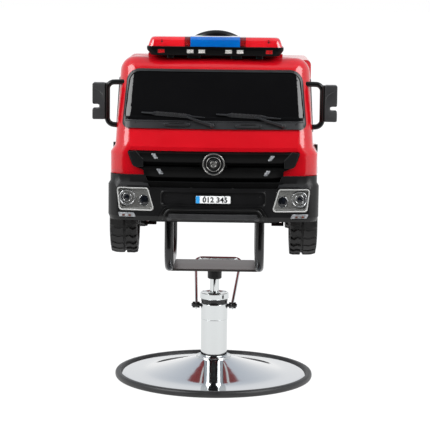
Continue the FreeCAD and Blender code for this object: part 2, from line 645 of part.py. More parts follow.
def pedal_ears():
    ears = []
    y = -d.pedal_hinge_y
    z = d.pedal_hinge_z
    half = d.pedal_width / 2
    for sign in (-1, 1):
        near = sign * (half + d.pedal_gap)
        far = sign * (half + d.pedal_ear)
        x_low, x_high = sorted((d.pedal_x + near, d.pedal_x + far))
        foot = block(x_low, x_high, y - d.pedal_ear_radius, y + d.pedal_ear_radius,
                     d.pan_bottom_z + d.wall, z)
        ear = joined(foot, rod_x(d.pedal_ear_radius, x_low, x_high, y, z))
        ears.append(ear.cut(rod_x(d.pedal_pin_radius + d.axle_clearance, x_low - d.overrun,
                                  x_high + d.overrun, y, z)))
    return ears


# Cab, rear body and doors

def cab_skin():
    outer = joined(cab_form(0, d.cab_rear_y), lower_form(0, d.cab_rear_y, d.sill_z))
    past = d.cab_rear_y + d.overrun
    inner = joined(cab_form(-d.wall, past), lower_form(-d.wall, past, d.sill_z - d.overrun))
    return outer.cut(inner)


def grille_opening(inset):
    top = d.grille_top_z - inset
    return both([(d.grille_top_half - inset, top),
                 (d.grille_mid_half - inset, d.grille_mid_z),
                 (d.grille_low_half - inset, d.grille_low_z),
                 (d.grille_low_half - inset, d.grille_bottom_z)])


def door_block(gap):
    inner = d.cab_half_width / 2
    front_gap = gap * d.hinge_swing_gap / d.door_gap
    outline = [(-d.door_front_y + front_gap, d.door_bottom_z + gap),
               (d.door_rear_y - gap, d.door_bottom_z + gap),
               (d.door_rear_y - gap, long_z), (-d.door_front_y + front_gap, long_z)]
    return side_prism(outline, [d.door_round, d.door_round, 0, 0], inner, long_x)


def build_cab():
    skin = cab_skin()
    past = d.cab_rear_y + 2 * d.overrun
    cockpit = side_prism([(-d.cockpit_front_y, long_z), (-d.cockpit_front_y, d.cockpit_high_z),
                          (-d.cockpit_belt_y, d.belt_z), (past, d.belt_z), (past, long_z)],
                         [0, d.cockpit_round, d.cockpit_round, 0, 0], -long_x, long_x)
    skin = skin.cut(cockpit)
    opening = front_prism(grille_opening(0), d.grille_round, -long_x, -d.bumper_rear_y)
    under_front = block(-long_x, long_x, -long_x, -d.bumper_rear_y, 0, d.red_bottom_z)
    arches = [rod_x(d.arch_radius, -long_x, long_x, y, d.axle_z) for y in axle_places()]
    doors = door_block(0)
    step = block(-d.step_half_width, d.step_half_width, -d.cockpit_front_y - d.step_depth,
                 -d.cockpit_front_y, d.roof_z - d.wall, d.roof_z + d.step_height)
    shell = joined(skin, step).cut([opening, under_front, doors, mirrored(doors)] + arches)
    feature("cab_shell", shell)

    door = skin.common(door_block(d.door_gap))
    lined = joined(cab_form(-d.wall, past), lower_form(-d.wall, past, d.sill_z)).cut(
        joined(cab_form(-d.door_lining, past), lower_form(-d.door_lining, past, d.sill_z)))
    lining = lined.common(door_block(d.door_gap + d.door_lining)).cut(cockpit)
    door = joined(door, lining).cut(arches)
    hinge_x = d.body_half_width + d.hinge_offset
    hinge_y = -d.door_front_y + d.hinge_swing_gap / 2
    pins = []
    barrels = []
    for z in (d.hinge_low_z, d.hinge_high_z):
        top = z + d.hinge_barrel_length
        bore = rod_z(d.hinge_radius + d.hinge_clearance, z, top, hinge_x, hinge_y)
        leaf = block(hinge_x - d.hinge_offset - d.wall / 2, hinge_x,
                     hinge_y, hinge_y + d.hinge_barrel_length, z, top)
        barrel = rod_z(d.hinge_barrel_radius, z, top, hinge_x, hinge_y)
        barrels.append(joined(barrel, leaf).cut(bore))
        # The pin is held by a small bracket below the barrel, on the body's side
        seat_z = z - d.door_gap / 10
        bracket_low = seat_z - d.hinge_barrel_radius
        bracket = joined(
            rod_z(d.hinge_barrel_radius, bracket_low, seat_z, hinge_x, hinge_y),
            block(d.body_half_width, hinge_x, hinge_y - d.hinge_barrel_length, hinge_y,
                  bracket_low, seat_z),
            rod_z(d.hinge_radius, seat_z, top, hinge_x, hinge_y))
        pins.append(bracket)
    door = joined(door, *barrels)
    feature("door_right", door)
    feature("door_left", mirrored(door))
    feature("hinge_pins", Part.Compound(pins + [mirrored(pin) for pin in pins]))


def rear_form(grow, bottom_z, front_y):
    w = d.body_half_width + grow
    box = block(-w, w, front_y, d.rear_end_y + grow, bottom_z, d.rear_top_z + grow)

    def upright(edge):
        bounds = edge.BoundBox
        return bounds.ZLength > d.rear_corner and bounds.YMin > front_y + d.wall
    box = box.makeFillet(d.rear_corner + grow, edges_of(box, upright))
    top = d.rear_top_z + grow - d.rod_clearance
    return box.makeFillet(d.rear_top_round + grow, edges_of(box, lambda e: (
        e.BoundBox.ZMin > top and e.BoundBox.YMax > front_y + d.wall)))


def build_rear_body():
    outer = rear_form(0, d.sill_z, d.cab_rear_y)
    inner = rear_form(-d.wall, d.sill_z - d.overrun, d.cab_rear_y + d.wall)
    arches = [rod_x(d.arch_radius, -long_x, long_x, y, d.axle_z) for y in axle_places()]
    liner = liner_form(d.rear_axle_y)
    # The front wall stands on the chassis pan and is cut out round the liners
    pan_space = block(-long_x, long_x, d.cab_rear_y, d.cab_rear_y + d.wall, d.sill_z,
                      d.pan_bottom_z + d.pan_height).common(inner.fuse(
                          rear_form(-d.wall, d.sill_z, d.cab_rear_y)))
    body = outer.cut(inner).cut(arches + [liner, mirrored(liner), pan_space])
    # Roller shutters moulded into both sides: a sunk field with rounded ribs
    low = d.axle_z + d.arch_radius + d.shutter_margin / 2
    high = d.rear_top_z - d.shutter_margin
    near = d.cab_rear_y + d.shutter_margin / 2
    far = d.rear_end_y - d.shutter_margin
    x = d.body_half_width
    field = side_prism([(near, low), (far, low), (far, high), (near, high)], d.door_round,
                       x - d.shutter_depth, x + d.overrun)
    ribs = []
    count = int((high - low) / d.shutter_pitch)
    for step in range(1, count):
        z = low + step * (high - low) / count
        ribs.append(rod_y(d.shutter_rib, near + d.wall, far - d.wall,
                          x - d.shutter_depth - d.shutter_rib / 4, z))
    body = body.cut([field, mirrored(field)])
    body = joined(body, *ribs, *[mirrored(rib) for rib in ribs])
    feature("rear_body", body)
    width = d.tail_lamp_width
    outer_x = d.body_half_width - d.tail_lamp_edge
    lamp = front_prism([(outer_x - width, d.tail_lamp_z), (outer_x, d.tail_lamp_z),
                        (outer_x, d.tail_lamp_z + d.tail_lamp_height),
                        (outer_x - width, d.tail_lamp_z + d.tail_lamp_height)],
                       d.tail_lamp_round, d.rear_end_y, d.rear_end_y + d.tail_lamp_thick)
    feature("tail_lamps", pair(lamp))


# Windscreen, wipers and side windows follow the cab's form

def cab_layer(low, high):
    rear = -d.cockpit_front_y
    return cab_form(high, rear).cut(cab_form(low, rear))


def build_windscreen():
    near = -long_x
    far = -d.cockpit_front_y - d.overrun
    outline = [(-d.screen_top_half, d.screen_top_z), (d.screen_top_half, d.screen_top_z),
               (d.screen_bottom_half, d.screen_bottom_z),
               (-d.screen_bottom_half, d.screen_bottom_z)]
    border = d.screen_border
    glass_low = d.screen_bottom_z + d.cowl_height
    glass_line = [(-d.screen_top_half + border, d.screen_top_z - border),
                  (d.screen_top_half - border, d.screen_top_z - border),
                  (d.screen_bottom_half - border, glass_low),
                  (-d.screen_bottom_half + border, glass_low)]
    top_round = d.screen_top_round
    low_round = d.screen_bottom_round
    hole = front_prism(glass_line, [d.glass_top_round] * 2 + [d.glass_bottom_round] * 2,
                       near, far)
    surround = front_prism(outline, [top_round] * 2 + [low_round] * 2, near, far)
    feature("windscreen_frame", cab_layer(0, d.screen_proud).common(surround).cut(hole))
    feature("windscreen_panel", cab_layer(0, d.glass_proud).common(hole))

    def wiper(shift):
        blade = front_prism([(-d.wiper_tip_x + shift, d.wiper_z),
                             (-d.wiper_heel_x + shift, d.wiper_z),
                             (-d.wiper_heel_x + shift, d.wiper_z + d.wiper_blade),
                             (-d.wiper_tip_x + shift, d.wiper_z + d.wiper_blade)],
                            d.wiper_blade / 3, near, far)
        blade = cab_layer(d.glass_proud, d.wiper_high).common(blade)
        arm = front_prism([(-d.wiper_joint_x + shift, d.wiper_z + d.wiper_blade),
                           (-d.wiper_joint_x + shift, d.wiper_z),
                           (-d.wiper_hub_x + shift, d.wiper_hub_z - d.wiper_arm / 2),
                           (-d.wiper_hub_x + shift, d.wiper_hub_z + d.wiper_arm)],
                          d.wiper_arm / 4, near, far)
        arm = cab_layer(d.wiper_low, d.wiper_high).common(arm)
        hub = rod_y(d.wiper_hub_radius, near, far, -d.wiper_hub_x + shift, d.wiper_hub_z)
        hub = cab_layer(d.screen_proud, d.wiper_high).common(hub)
        return joined(blade, arm, hub)
    feature("wiper_left", wiper(0))
    feature("wiper_right", wiper(d.wiper_tip_x + d.wiper_right_shift))

    rake = d.window_rake
    outline = [(-d.window_front_y, d.window_bottom_z), (-d.window_rear_y, d.window_bottom_z),
               (-d.window_rear_y, d.window_top_z - rake),
               (-d.cockpit_front_y - d.window_proud, d.window_top_z),
               (-d.window_front_y + rake / 2, d.window_top_z)]
    pane = side_prism(outline, d.window_round, 0, long_x)
    rear = -d.window_rear_y + d.overrun
    layer = cab_form(d.window_proud, rear).cut(cab_form(0, rear))
    feature("side_windows", pair(layer.common(pane)))


# Grille and emblem

def swept_front(profile, half_angle):
    """A (depth, height) profile swept along the front's bow."""
    centre_y = -d.slat_front_y + d.front_bow_radius
    face = Part.Face(rounded(profile, 0, side(0)))
    face.rotate(Vector(0, centre_y, 0), Vector(0, 0, 1), -half_angle)
    return face.revolve(Vector(0, centre_y, 0), Vector(0, 0, 1), 2 * half_angle)


def scoop_prism():
    """The bumper's cut-out, which lets the grille run on below the red body."""
    return front_prism(both([(d.bumper_scoop_half_top, d.red_bottom_z + d.overrun),
                             (d.bumper_scoop_half_low, d.bumper_scoop_z)]), 0, -long_x, 0)


def build_grille():
    half_angle = math.degrees(d.grille_top_half / d.front_bow_radius) + 1
    front_y = -d.slat_front_y
    parts = []
    top = d.slat_top_z
    for _ in range(2):
        profile = [(front_y + u * d.slat_depth, top - d.slat_height + v * d.slat_height)
                   for u, v in slat_profile_shares]
        parts.append(swept_front(profile, half_angle))
        top -= d.slat_height + d.slat_gap
    back_near = -d.grille_back_y
    back = [(back_near, d.grille_bottom_z), (back_near + d.grille_back_thick, d.grille_bottom_z),
            (back_near + d.grille_back_thick, d.grille_top_z), (back_near, d.grille_top_z)]
    parts.append(swept_front(back, half_angle))
    for x in (-d.emblem_radius, d.emblem_radius):
        parts.append(block(x - d.slat_gap, x + d.slat_gap, front_y + d.slat_depth / 2,
                           back_near + d.slat_gap, d.grille_bottom_z, d.grille_top_z - d.slat_gap))
    grille = joined(*parts).common(
        front_prism(grille_opening(0), d.grille_round, -long_x, 0))
    beside_scoop = block(-long_x, long_x, -long_x, 0, 0, d.red_bottom_z).cut(scoop_prism())
    feature("grille", grille.cut(beside_scoop))
    rear_y = -d.slat_front_y
    puck_y = rear_y - d.emblem_puck
    face_y = puck_y - d.emblem_height
    puck = rod_y(d.emblem_radius, puck_y, rear_y, 0, d.emblem_z)
    outer = rod_y(d.emblem_radius, face_y, puck_y, 0, d.emblem_z).cut(
        rod_y(d.emblem_radius - d.emblem_band, face_y, puck_y, 0, d.emblem_z))
    middle = rod_y(d.emblem_inner_radius, face_y, puck_y, 0, d.emblem_z).cut(
        rod_y(d.emblem_inner_radius - d.emblem_band, face_y, puck_y, 0, d.emblem_z))
    boss = rod_y(d.emblem_boss_radius, face_y, puck_y, 0, d.emblem_z)
    feature("emblem_rings", joined(puck, outer, middle, boss))


# Bumper with lamps, guard bar, skid strip and number plate

def headlight_outline(inset):
    return [(d.headlight_outer_top_x - inset, d.headlight_top_z - inset),
            (d.headlight_inner_top_x + inset, d.headlight_top_z - inset),
            (d.headlight_inner_low_x + inset, d.headlight_low_z + inset),
            (d.headlight_outer_low_x - inset, d.headlight_low_z + inset)]


def bumper_layer(low, high):
    bottom = d.bumper_bottom_z
    top = d.red_bottom_z
    return bumper_form(high, bottom, top).cut(bumper_form(low, bottom, top))


def build_bumper():
    near = -long_x
    far = -d.bumper_rear_y - d.overrun
    top = d.red_bottom_z
    outer = bumper_form(0, d.bumper_bottom_z, top)
    inner = bumper_form(-d.bumper_wall, d.bumper_bottom_z, top)
    clear_bottom = block(-long_x, long_x, -long_x, 0, d.bumper_bottom_z + d.bumper_wall, long_z)
    hollow = inner.common(clear_bottom)
    backing = outer.cut(bumper_form(-d.recess_depth - d.recess_backing, d.bumper_bottom_z, top))
    margin = d.recess_backing
    backing = backing.common(block(-d.recess_half - margin, d.recess_half + margin, near, far,
                                   d.recess_low_z - margin, d.recess_top_z + margin))
    recess = front_prism([(-d.recess_half, d.recess_low_z), (d.recess_half, d.recess_low_z),
                          (d.recess_half, d.recess_top_z), (-d.recess_half, d.recess_top_z)],
                         d.recess_round, near, far)
    recess = recess.cut(bumper_form(-d.recess_depth, d.bumper_bottom_z, top))
    lamp_hole = front_prism(headlight_outline(0), d.headlight_round, near, far)
    slant = d.fog_slant
    fog_line = [(d.fog_outer_x, d.fog_top_z), (d.fog_inner_x + slant, d.fog_top_z),
                (d.fog_inner_x, d.fog_low_z), (d.fog_outer_x - slant, d.fog_low_z)]
    fog_hole = front_prism(fog_line, d.fog_round, near, far)
    holes = [lamp_hole, mirrored(lamp_hole), fog_hole, mirrored(fog_hole)]
    open_back = block(-d.bumper_half_width + d.bumper_wall, d.bumper_half_width - d.bumper_wall,
                      far, 0, d.bumper_bottom_z + d.bumper_wall, long_z)
    bumper = joined(outer.cut(hollow).cut(open_back), backing).cut([recess, scoop_prism()] + holes)
    feature("bumper", bumper)

    sink = d.lens_sink
    lens_layer = bumper_layer(-sink - d.lens_thick, -sink)
    trim_line = front_prism(headlight_outline(d.headlight_trim),
                            d.headlight_round - d.headlight_trim, near, far)
    fog_lens = bumper_layer(-d.lens_thick, 0).common(fog_hole)
    lens = lens_layer.common(trim_line)
    feature("lamp_lenses", Part.Compound([lens, mirrored(lens), fog_lens, mirrored(fog_lens)]))

    behind = -sink - d.lens_thick
    bowl = bumper_layer(-d.headlight_depth, behind).common(lamp_hole)
    bezel = bumper_layer(behind, 0).common(lamp_hole).cut(trim_line)
    def bowl_cut(radius, depth, x, z):
        floor = bumper_form(behind - depth, d.bumper_bottom_z, top)
        return rod_y(radius, near, far, x, z).cut(floor)
    bowl = joined(bowl, bezel)
    lamp_cut = bowl_cut(d.lamp_radius, d.lamp_depth, d.lamp_x, d.lamp_z)
    dip_cut = bowl_cut(d.dip_radius, d.dip_depth, d.dip_x, d.dip_z)
    fog_bowl = bumper_layer(-d.fog_depth, -d.lens_thick).common(fog_hole)
    bowl = bowl.cut([lamp_cut, dip_cut])
    feature("lamp_housings", Part.Compound([bowl, mirrored(bowl), fog_bowl, mirrored(fog_bowl)]))

    thick = d.bar_thick
    drop_z = d.bar_top_z - thick - d.bar_drop
    band = both([(d.bar_half, d.bar_top_z), (d.bar_half + d.bar_drop, drop_z),
                 (d.bar_half + d.bar_drop - thick * 2, drop_z),
                 (d.bar_half - thick, d.bar_top_z - thick)])
    small = d.skid_round
    radii = [d.bar_round, small, small, d.bar_round]
    band = front_prism(band, radii + radii[::-1], near, far)
    bar = bumper_layer(0, d.bar_proud).common(band)
    skid_top = d.skid_bottom_z + d.skid_height
    skid = both([(d.skid_half, skid_top), (d.skid_half - small, d.skid_bottom_z)])
    skid = front_prism(skid, small / 2, near, far)
    skid = bumper_layer(0, d.skid_proud).common(skid).cut(band)
    feature("bumper_guard", Part.Compound(bar.Solids + skid.Solids))

    half = d.plate_tag_width / 2
    tall = d.plate_tag_height / 2
    rear_y = -d.bumper_front_y + d.recess_depth
    tag = front_prism([(-half, d.plate_tag_z - tall), (half, d.plate_tag_z - tall),
                       (half, d.plate_tag_z + tall), (-half, d.plate_tag_z + tall)],
                      d.plate_tag_round, rear_y - d.plate_tag_thick, rear_y)
    feature("number_plate", tag)


# Mirrors: a tube bracket with a two-lobed case

def build_mirrors():
    y = -d.mirror_y
    x = d.mirror_tube_x
    top = d.mirror_top_z
    low = d.mirror_low_z
    drop = d.mirror_root_drop
    run = [Vector(d.mirror_root_x, y, top + drop / 4), Vector(x, y, top), Vector(x, y, low),
           Vector(d.mirror_root_x, y, low - drop)]
    arm = tube(run, d.mirror_tube_radius, d.mirror_bend)
    arm = arm.cut(joined(cab_form(0, d.cab_rear_y)))
    case_top = d.mirror_case_top_z
    case_low = d.mirror_case_low_z
    outline = [(x, case_top), (d.mirror_outer_x, case_top),
               (d.mirror_outer_x, d.mirror_notch_top_z), (d.mirror_notch_x, d.mirror_notch_top_z),
               (d.mirror_notch_x, d.mirror_notch_low_z), (d.mirror_outer_x, d.mirror_notch_low_z),
               (d.mirror_outer_x, case_low), (x, case_low)]
    small = (d.mirror_notch_top_z - d.mirror_notch_low_z) / 3
    big = d.mirror_case_round
    case = front_prism(outline, [small, big, small, small, small, small, big, small],
                       y - d.mirror_case_depth / 2, y + d.mirror_case_depth / 2)

    def long_rim(edge):
        bounds = edge.BoundBox
        return bounds.YLength < d.rod_clearance and bounds.XMax > x + d.wall
    case = case.makeFillet(small * 0.8, edges_of(case, long_rim))
    solids = joined(arm, case)
    mirror = max(solids.Solids, key=lambda s: s.Volume)
    feature("mirror_right", mirror)
    feature("mirror_left", mirrored(mirror))


# Light bar

def build_lightbar():
    y = -d.lightbar_y
    seat_z = d.lightbar_base_z
    lens_z = d.lightbar_lens_z
    top_z = d.lightbar_top_z

    def slab(half_low, half_high, depth_low, depth_high, z_low, z_high):
        def ring(half, depth, z):
            points = [(-half, y - depth / 2), (half, y - depth / 2),
                      (half, y + depth / 2), (-half, y + depth / 2)]
            return rounded(points, d.lightbar_round * 3, plan(z))
        return Part.makeLoft([ring(half_low, depth_low, z_low), ring(half_high, depth_high, z_high)],
                             True, True)
    base = slab(d.lightbar_low_half, d.lightbar_half, d.lightbar_low_depth, d.lightbar_depth,
                seat_z, lens_z)
    feet = []
    for x in (d.lightbar_foot_x, d.lightbar_foot_inner_x):
        half = d.lightbar_foot_width / 2
        foot = block(x - half, x + half, y - d.lightbar_foot_depth / 2,
                     y + d.lightbar_foot_depth / 2, d.roof_z, seat_z)
        feet += [foot, mirrored(foot)]
    step_space = block(-long_x, long_x, -d.cockpit_front_y - d.step_depth, 0, 0,
                       d.roof_z + d.step_height)
    feature("lightbar_base", joined(base, *feet).cut(step_space))
    slope = d.lightbar_end_slope
    lens = slab(d.lightbar_half - d.lightbar_edge, d.lightbar_half - slope,
                d.lightbar_depth - d.lightbar_edge, d.lightbar_depth - slope, lens_z, top_z)
    lens = lens.makeFillet(d.lightbar_round, edges_of(lens, lambda e: (
        e.BoundBox.ZMin > top_z - d.rod_clearance)))
    side_cut = block(d.beacon_half, long_x, -long_x, 0, 0, long_z)
    right = lens.common(side_cut)
    feature("red_lenses", pair(right))
    proud = d.beacon_proud
    deep = (d.lightbar_depth - d.lightbar_edge) / 2 + proud
    beacon_half = d.beacon_half
    shallow = deep - slope / 2
    blue = side_prism([(y - deep, lens_z), (y + deep, lens_z), (y + shallow, top_z + proud / 2),
                       (y - shallow, top_z + proud / 2)],
                      [0, 0, d.lightbar_round, d.lightbar_round], -beacon_half, beacon_half)
    feature("blue_lens", blue)


# Dashboard, steering wheel and horn

def steer_axis():
    tilt = math.radians(d.steer_tilt)
    return Vector(0, math.cos(tilt), math.sin(tilt))


def build_dashboard():
    outline = [(-d.dash_front_y, d.dash_low_z), (-d.dash_rear_y - d.dash_round, d.dash_low_z),
               (-d.dash_rear_y, (d.dash_low_z + d.dash_top_z) / 2),
               (-d.dash_rear_y - 2 * d.dash_round, d.dash_top_z),
               (-d.dash_front_y, d.dash_top_z)]
    solid = side_prism(outline, d.dash_round, -long_x, long_x)
    solid = solid.common(cab_form(-d.wall, 0))
    skin = d.dash_skin
    inner = side_prism([(-d.dash_front_y - skin, d.dash_low_z - skin),
                        (-d.dash_rear_y - d.dash_round - skin, d.dash_low_z - skin),
                        (-d.dash_rear_y - skin, (d.dash_low_z + d.dash_top_z) / 2),
                        (-d.dash_rear_y - 2 * d.dash_round - skin, d.dash_top_z - skin),
                        (-d.dash_front_y - skin, d.dash_top_z - skin)],
                       d.dash_round / 2, -d.cab_half_width / 2, d.cab_half_width / 2)
    centre = Vector(0, -d.steer_y, d.steer_z)
    axis = steer_axis()
    bore = Part.makeCylinder(d.column_radius + d.column_clearance, d.column_length * 2,
                             centre, axis * -1)
    side_hollow = inner.fuse([
        block(d.cab_half_width / 2 + skin, d.cab_top_half_width - 3 * skin,
              -d.dash_front_y, -d.dash_rear_y - 3 * skin, d.dash_low_z - skin,
              d.dash_top_z - 2 * skin),
        block(-d.cab_top_half_width + 3 * skin, -d.cab_half_width / 2 - skin,
              -d.dash_front_y, -d.dash_rear_y - 3 * skin, d.dash_low_z - skin,
              d.dash_top_z - 2 * skin)])
    feature("dashboard", solid.cut(side_hollow).cut(bore))


def build_steering():
    axis = steer_axis()
    centre = Vector(0, -d.steer_y, d.steer_z)
    across = Vector(1, 0, 0)
    down = axis.cross(across)
    rim = Part.makeTorus(d.rim_radius, d.rim_tube, centre, axis)
    hub_low = centre - axis * d.hub_set_back
    hub = Part.makeCylinder(d.hub_radius, d.hub_height, hub_low, axis)
    spokes = []
    for direction in (across, across * -1, down * (-1 if down.z > 0 else 1)):
        width_way = axis.cross(direction)
        corner = centre - width_way * (d.spoke_width / 2) - axis * (d.spoke_thick / 2)
        spoke = Part.makeBox(d.rim_radius, d.spoke_width, d.spoke_thick)
        turn = Rotation(direction, width_way, axis, "XYZ")
        spoke.Placement = Placement(corner, turn)
        spokes.append(spoke)
    pocket_low = hub_low + axis * (d.hub_height - d.horn_pocket)
    pocket = Part.makeCylinder(d.horn_radius + d.horn_clearance, d.horn_pocket + d.overrun,
                               pocket_low, axis)
    column_top = Part.makeCylinder(d.column_radius, d.column_length, centre, axis * -1)
    wheel = joined(rim, hub, *spokes).cut(pocket).cut(column_top)
    feature("steering_wheel", wheel)
    feature("steering_column", column_top)
    # The button stands clear of its pocket's floor by its travel and a little more
    rise = d.horn_pocket * 5 / 8
    button = Part.makeCylinder(d.horn_radius, d.horn_height, pocket_low + axis * rise, axis)

    def crown(edge):
        return (edge.CenterOfMass - pocket_low).dot(axis) > rise + d.horn_height / 2
    rims = [e for e in button.Edges if isinstance(e.Curve, Part.Circle) and crown(e)]
    feature("horn_button", button.makeFillet(d.horn_height / 4, rims))


# Seat, its pads and the pedal

def build_seat():
    half = d.seat_half_width
    low = d.pan_bottom_z + d.wall
    wall = d.seat_shell_wall
    rear = d.cab_rear_y
    top = d.seat_back_top_z
    back_top_y = rear - d.seat_back_thick
    back_low_y = back_top_y - d.seat_lean
    corner = d.seat_round
    outline = [(-d.seat_front_y, low), (rear, low), (rear, top), (back_top_y, top),
               (back_low_y, d.seat_base_z), (-d.seat_front_y, d.seat_base_z)]
    shell = side_prism(outline, [0, 0, corner, corner, 0, d.seat_shell_round], -half, half)
    hollow = side_prism([(-d.seat_front_y + wall, low - d.overrun), (rear - wall, low - d.overrun),
                         (rear - wall, top - wall), (back_top_y + wall, top - wall),
                         (back_low_y + wall, d.seat_base_z - wall),
                         (-d.seat_front_y + wall, d.seat_base_z - wall)],
                        [0, 0, wall / 2, wall / 2, 0, d.seat_shell_round - wall],
                        -half + wall, half - wall)
    round_top = front_prism([(-half, low), (half, low), (half, d.seat_back_top_z),
                             (-half, d.seat_back_top_z)],
                            [0, 0, d.seat_shell_round, d.seat_shell_round], -long_x, long_x)
    shell = shell.cut(hollow).common(round_top)
    feature("seat_shell", shell)

    seat_pad = cushion(d.pad_half_width, d.pad_depth, d.pad_height)
    seat_pad.translate(Vector(0, -d.pad_front_y + d.pad_depth / 2,
                              d.seat_base_z + d.pad_clearance))
    feature("seat_pad", seat_pad)
    back_pad = cushion(d.back_pad_half_width, d.back_pad_height, d.back_pad_thick)
    slope = math.degrees(math.atan2(d.seat_lean, top - d.seat_base_z))
    back_pad.rotate(Vector(0, 0, 0), Vector(1, 0, 0), 90 - slope)
    middle_z = d.back_pad_low_z + d.back_pad_height / 2
    middle_y = back_top_y - d.seat_lean * (top - middle_z) / (top - d.seat_base_z)
    back_pad.translate(Vector(0, middle_y - d.pad_clearance, middle_z))
    feature("back_pad", back_pad)


def cushion(half_width, depth, height):
    """A crowned pad with drawn-in sides, flat below."""
    half_depth = depth / 2
    corner = d.pad_corner
    w = half_width
    draw = d.pad_draw
    low = 0

    def pulled(start, middle, end):
        return Part.Arc(Vector(*start, low), Vector(*middle, low), Vector(*end, low)).toShape()
    flat = w - corner
    deep = half_depth - corner
    nip = corner * (1 - math.sqrt(0.5))
    edges = [
        pulled((-flat, -half_depth), (0, -half_depth + draw), (flat, -half_depth)),
        pulled((flat, -half_depth), (w - nip, -half_depth + nip), (w, -deep)),
        pulled((w, -deep), (w - draw, 0), (w, deep)),
        pulled((w, deep), (w - nip, half_depth - nip), (flat, half_depth)),
        pulled((flat, half_depth), (0, half_depth - draw), (-flat, half_depth)),
        pulled((-flat, half_depth), (-w + nip, half_depth - nip), (-w, deep)),
        pulled((-w, deep), (-w + draw, 0), (-w, -deep)),
        pulled((-w, -deep), (-w + nip, -half_depth + nip), (-flat, -half_depth)),
    ]
    body = Part.Face(Part.Wire(edges)).extrude(Vector(0, 0, height))
    reach = math.hypot(w, half_depth)
    radius = (reach ** 2 + d.pad_crown ** 2) / (2 * d.pad_crown)
    ball = Part.makeSphere(radius, Vector(0, 0, height - radius))
    body = body.common(ball)

    def rim(edge):
        return edge.BoundBox.ZMin > height - 2 * d.pad_crown and edge.BoundBox.ZLength < d.pad_crown
    return body.makeFillet(d.pad_edge, edges_of(body, rim))


def build_pedal():
    hinge = Vector(d.pedal_x, -d.pedal_hinge_y, d.pedal_hinge_z)
    half = d.pedal_width / 2
    pad = Part.makeBox(d.pedal_width, d.pedal_length, d.pedal_thick, Vector(-half, 0, 0))
    pad = pad.makeFillet(d.pedal_round, pad.Edges)
    pin = rod_x(d.pedal_pin_radius, -half - d.pedal_ear, half + d.pedal_ear, 0, 0)
    barrel = rod_x(d.pedal_ear_radius - d.pedal_round / 2, -half, half, 0, 0)
    pedal = joined(pad, barrel, pin)
    # The pad reaches forward and up from its hinge
    pedal.rotate(Vector(0, 0, 0), Vector(0, 0, 1), 180)
    pedal.rotate(Vector(0, 0, 0), Vector(1, 0, 0), -d.pedal_tilt)
    pedal.translate(hinge)
    feature("pedal", pedal)


# Axles, steering knuckles, tie rod and wheels

def build_axles():
    y = -d.front_axle_y
    z = d.axle_z
    half_boss = d.boss_height / 2
    beam = block(-d.kingpin_x, d.kingpin_x, y - d.beam_depth / 2, y + d.beam_depth / 2,
                 z - d.beam_height / 2, z + d.beam_height / 2)
    parts = []
    for sign in (-1, 1):
        x = sign * d.kingpin_x
        parts.append(rod_z(d.boss_radius, z - half_boss, z + half_boss, x, y))
        pad_x = sign * d.beam_pad_x
        parts.append(block(pad_x - d.beam_pad_width / 2, pad_x + d.beam_pad_width / 2,
                           y - d.beam_depth / 2, y + d.beam_depth / 2, z, d.pan_bottom_z))
    beam = joined(beam, *parts)
    bores = [rod_z(d.kingpin_radius + d.axle_clearance, 0, long_z, sign * d.kingpin_x, y)
             for sign in (-1, 1)]
    feature("front_axle", beam.cut(bores))

    x = d.kingpin_x
    low = z - half_boss - d.knuckle_gap
    high = z + half_boss + d.knuckle_gap
    plate = d.knuckle_plate
    half = d.knuckle_width / 2
    inner = x - d.boss_radius
    pin = rod_z(d.kingpin_radius, low, high, x, y)
    lower = block(inner, d.knuckle_outer_x, y - half, y + half, low - plate, low)
    upper = block(inner, d.knuckle_outer_x, y - half, y + half, high, high + plate)
    web = block(d.knuckle_outer_x - plate * 0.8, d.knuckle_outer_x, y - half, y + half,
                low - plate, high + plate)
    stub = rod_x(d.stub_axle_radius, d.knuckle_outer_x - plate / 2, d.stub_axle_end_x, y, z)
    arm = block(x - d.boss_radius, x + d.boss_radius, y, y + d.steer_arm, high, high + plate)
    arm_end = rod_z(d.boss_radius, high, high + plate, x, y + d.steer_arm)
    # The steer pin hangs from the arm, through the tie rod's eye, and ends in a head
    rod_top = high - d.tie_rod_gap
    rod_low = rod_top - d.tie_rod_thick
    pin_low = rod_low - d.tie_rod_gap
    steer_pin = rod_z(d.steer_pin_radius, pin_low, high, x, y + d.steer_arm)
    pin_head = rod_z(d.steer_pin_head_radius, pin_low - d.steer_pin_head, pin_low,
                     x, y + d.steer_arm)
    knuckle = joined(pin, lower, upper, web, stub, arm, arm_end, steer_pin, pin_head)
    feature("knuckle_right", knuckle)
    feature("knuckle_left", mirrored(knuckle))

    end_x = x + d.tie_rod_width / 2
    tie = plan_prism([(-end_x, y + d.steer_arm - d.tie_rod_width / 2),
                      (end_x, y + d.steer_arm - d.tie_rod_width / 2),
                      (end_x, y + d.steer_arm + d.tie_rod_width / 2),
                      (-end_x, y + d.steer_arm + d.tie_rod_width / 2)],
                     d.tie_rod_width / 3, rod_low, rod_top)
    eyes = [rod_z(d.tie_rod_hole, 0, long_z, sign * x, y + d.steer_arm) for sign in (-1, 1)]
    feature("tie_rod", tie.cut(eyes))
    keep(primitive("Cylinder", "rear_axle", Radius="rear_axle_radius",
                   Height="2 * rear_axle_end_x", x="-rear_axle_end_x", y="rear_axle_y",
                   z="axle_z"), "rear_axle")
    doc.getObject("rear_axle").Placement.Rotation = Rotation(Vector(0, 1, 0), 90)


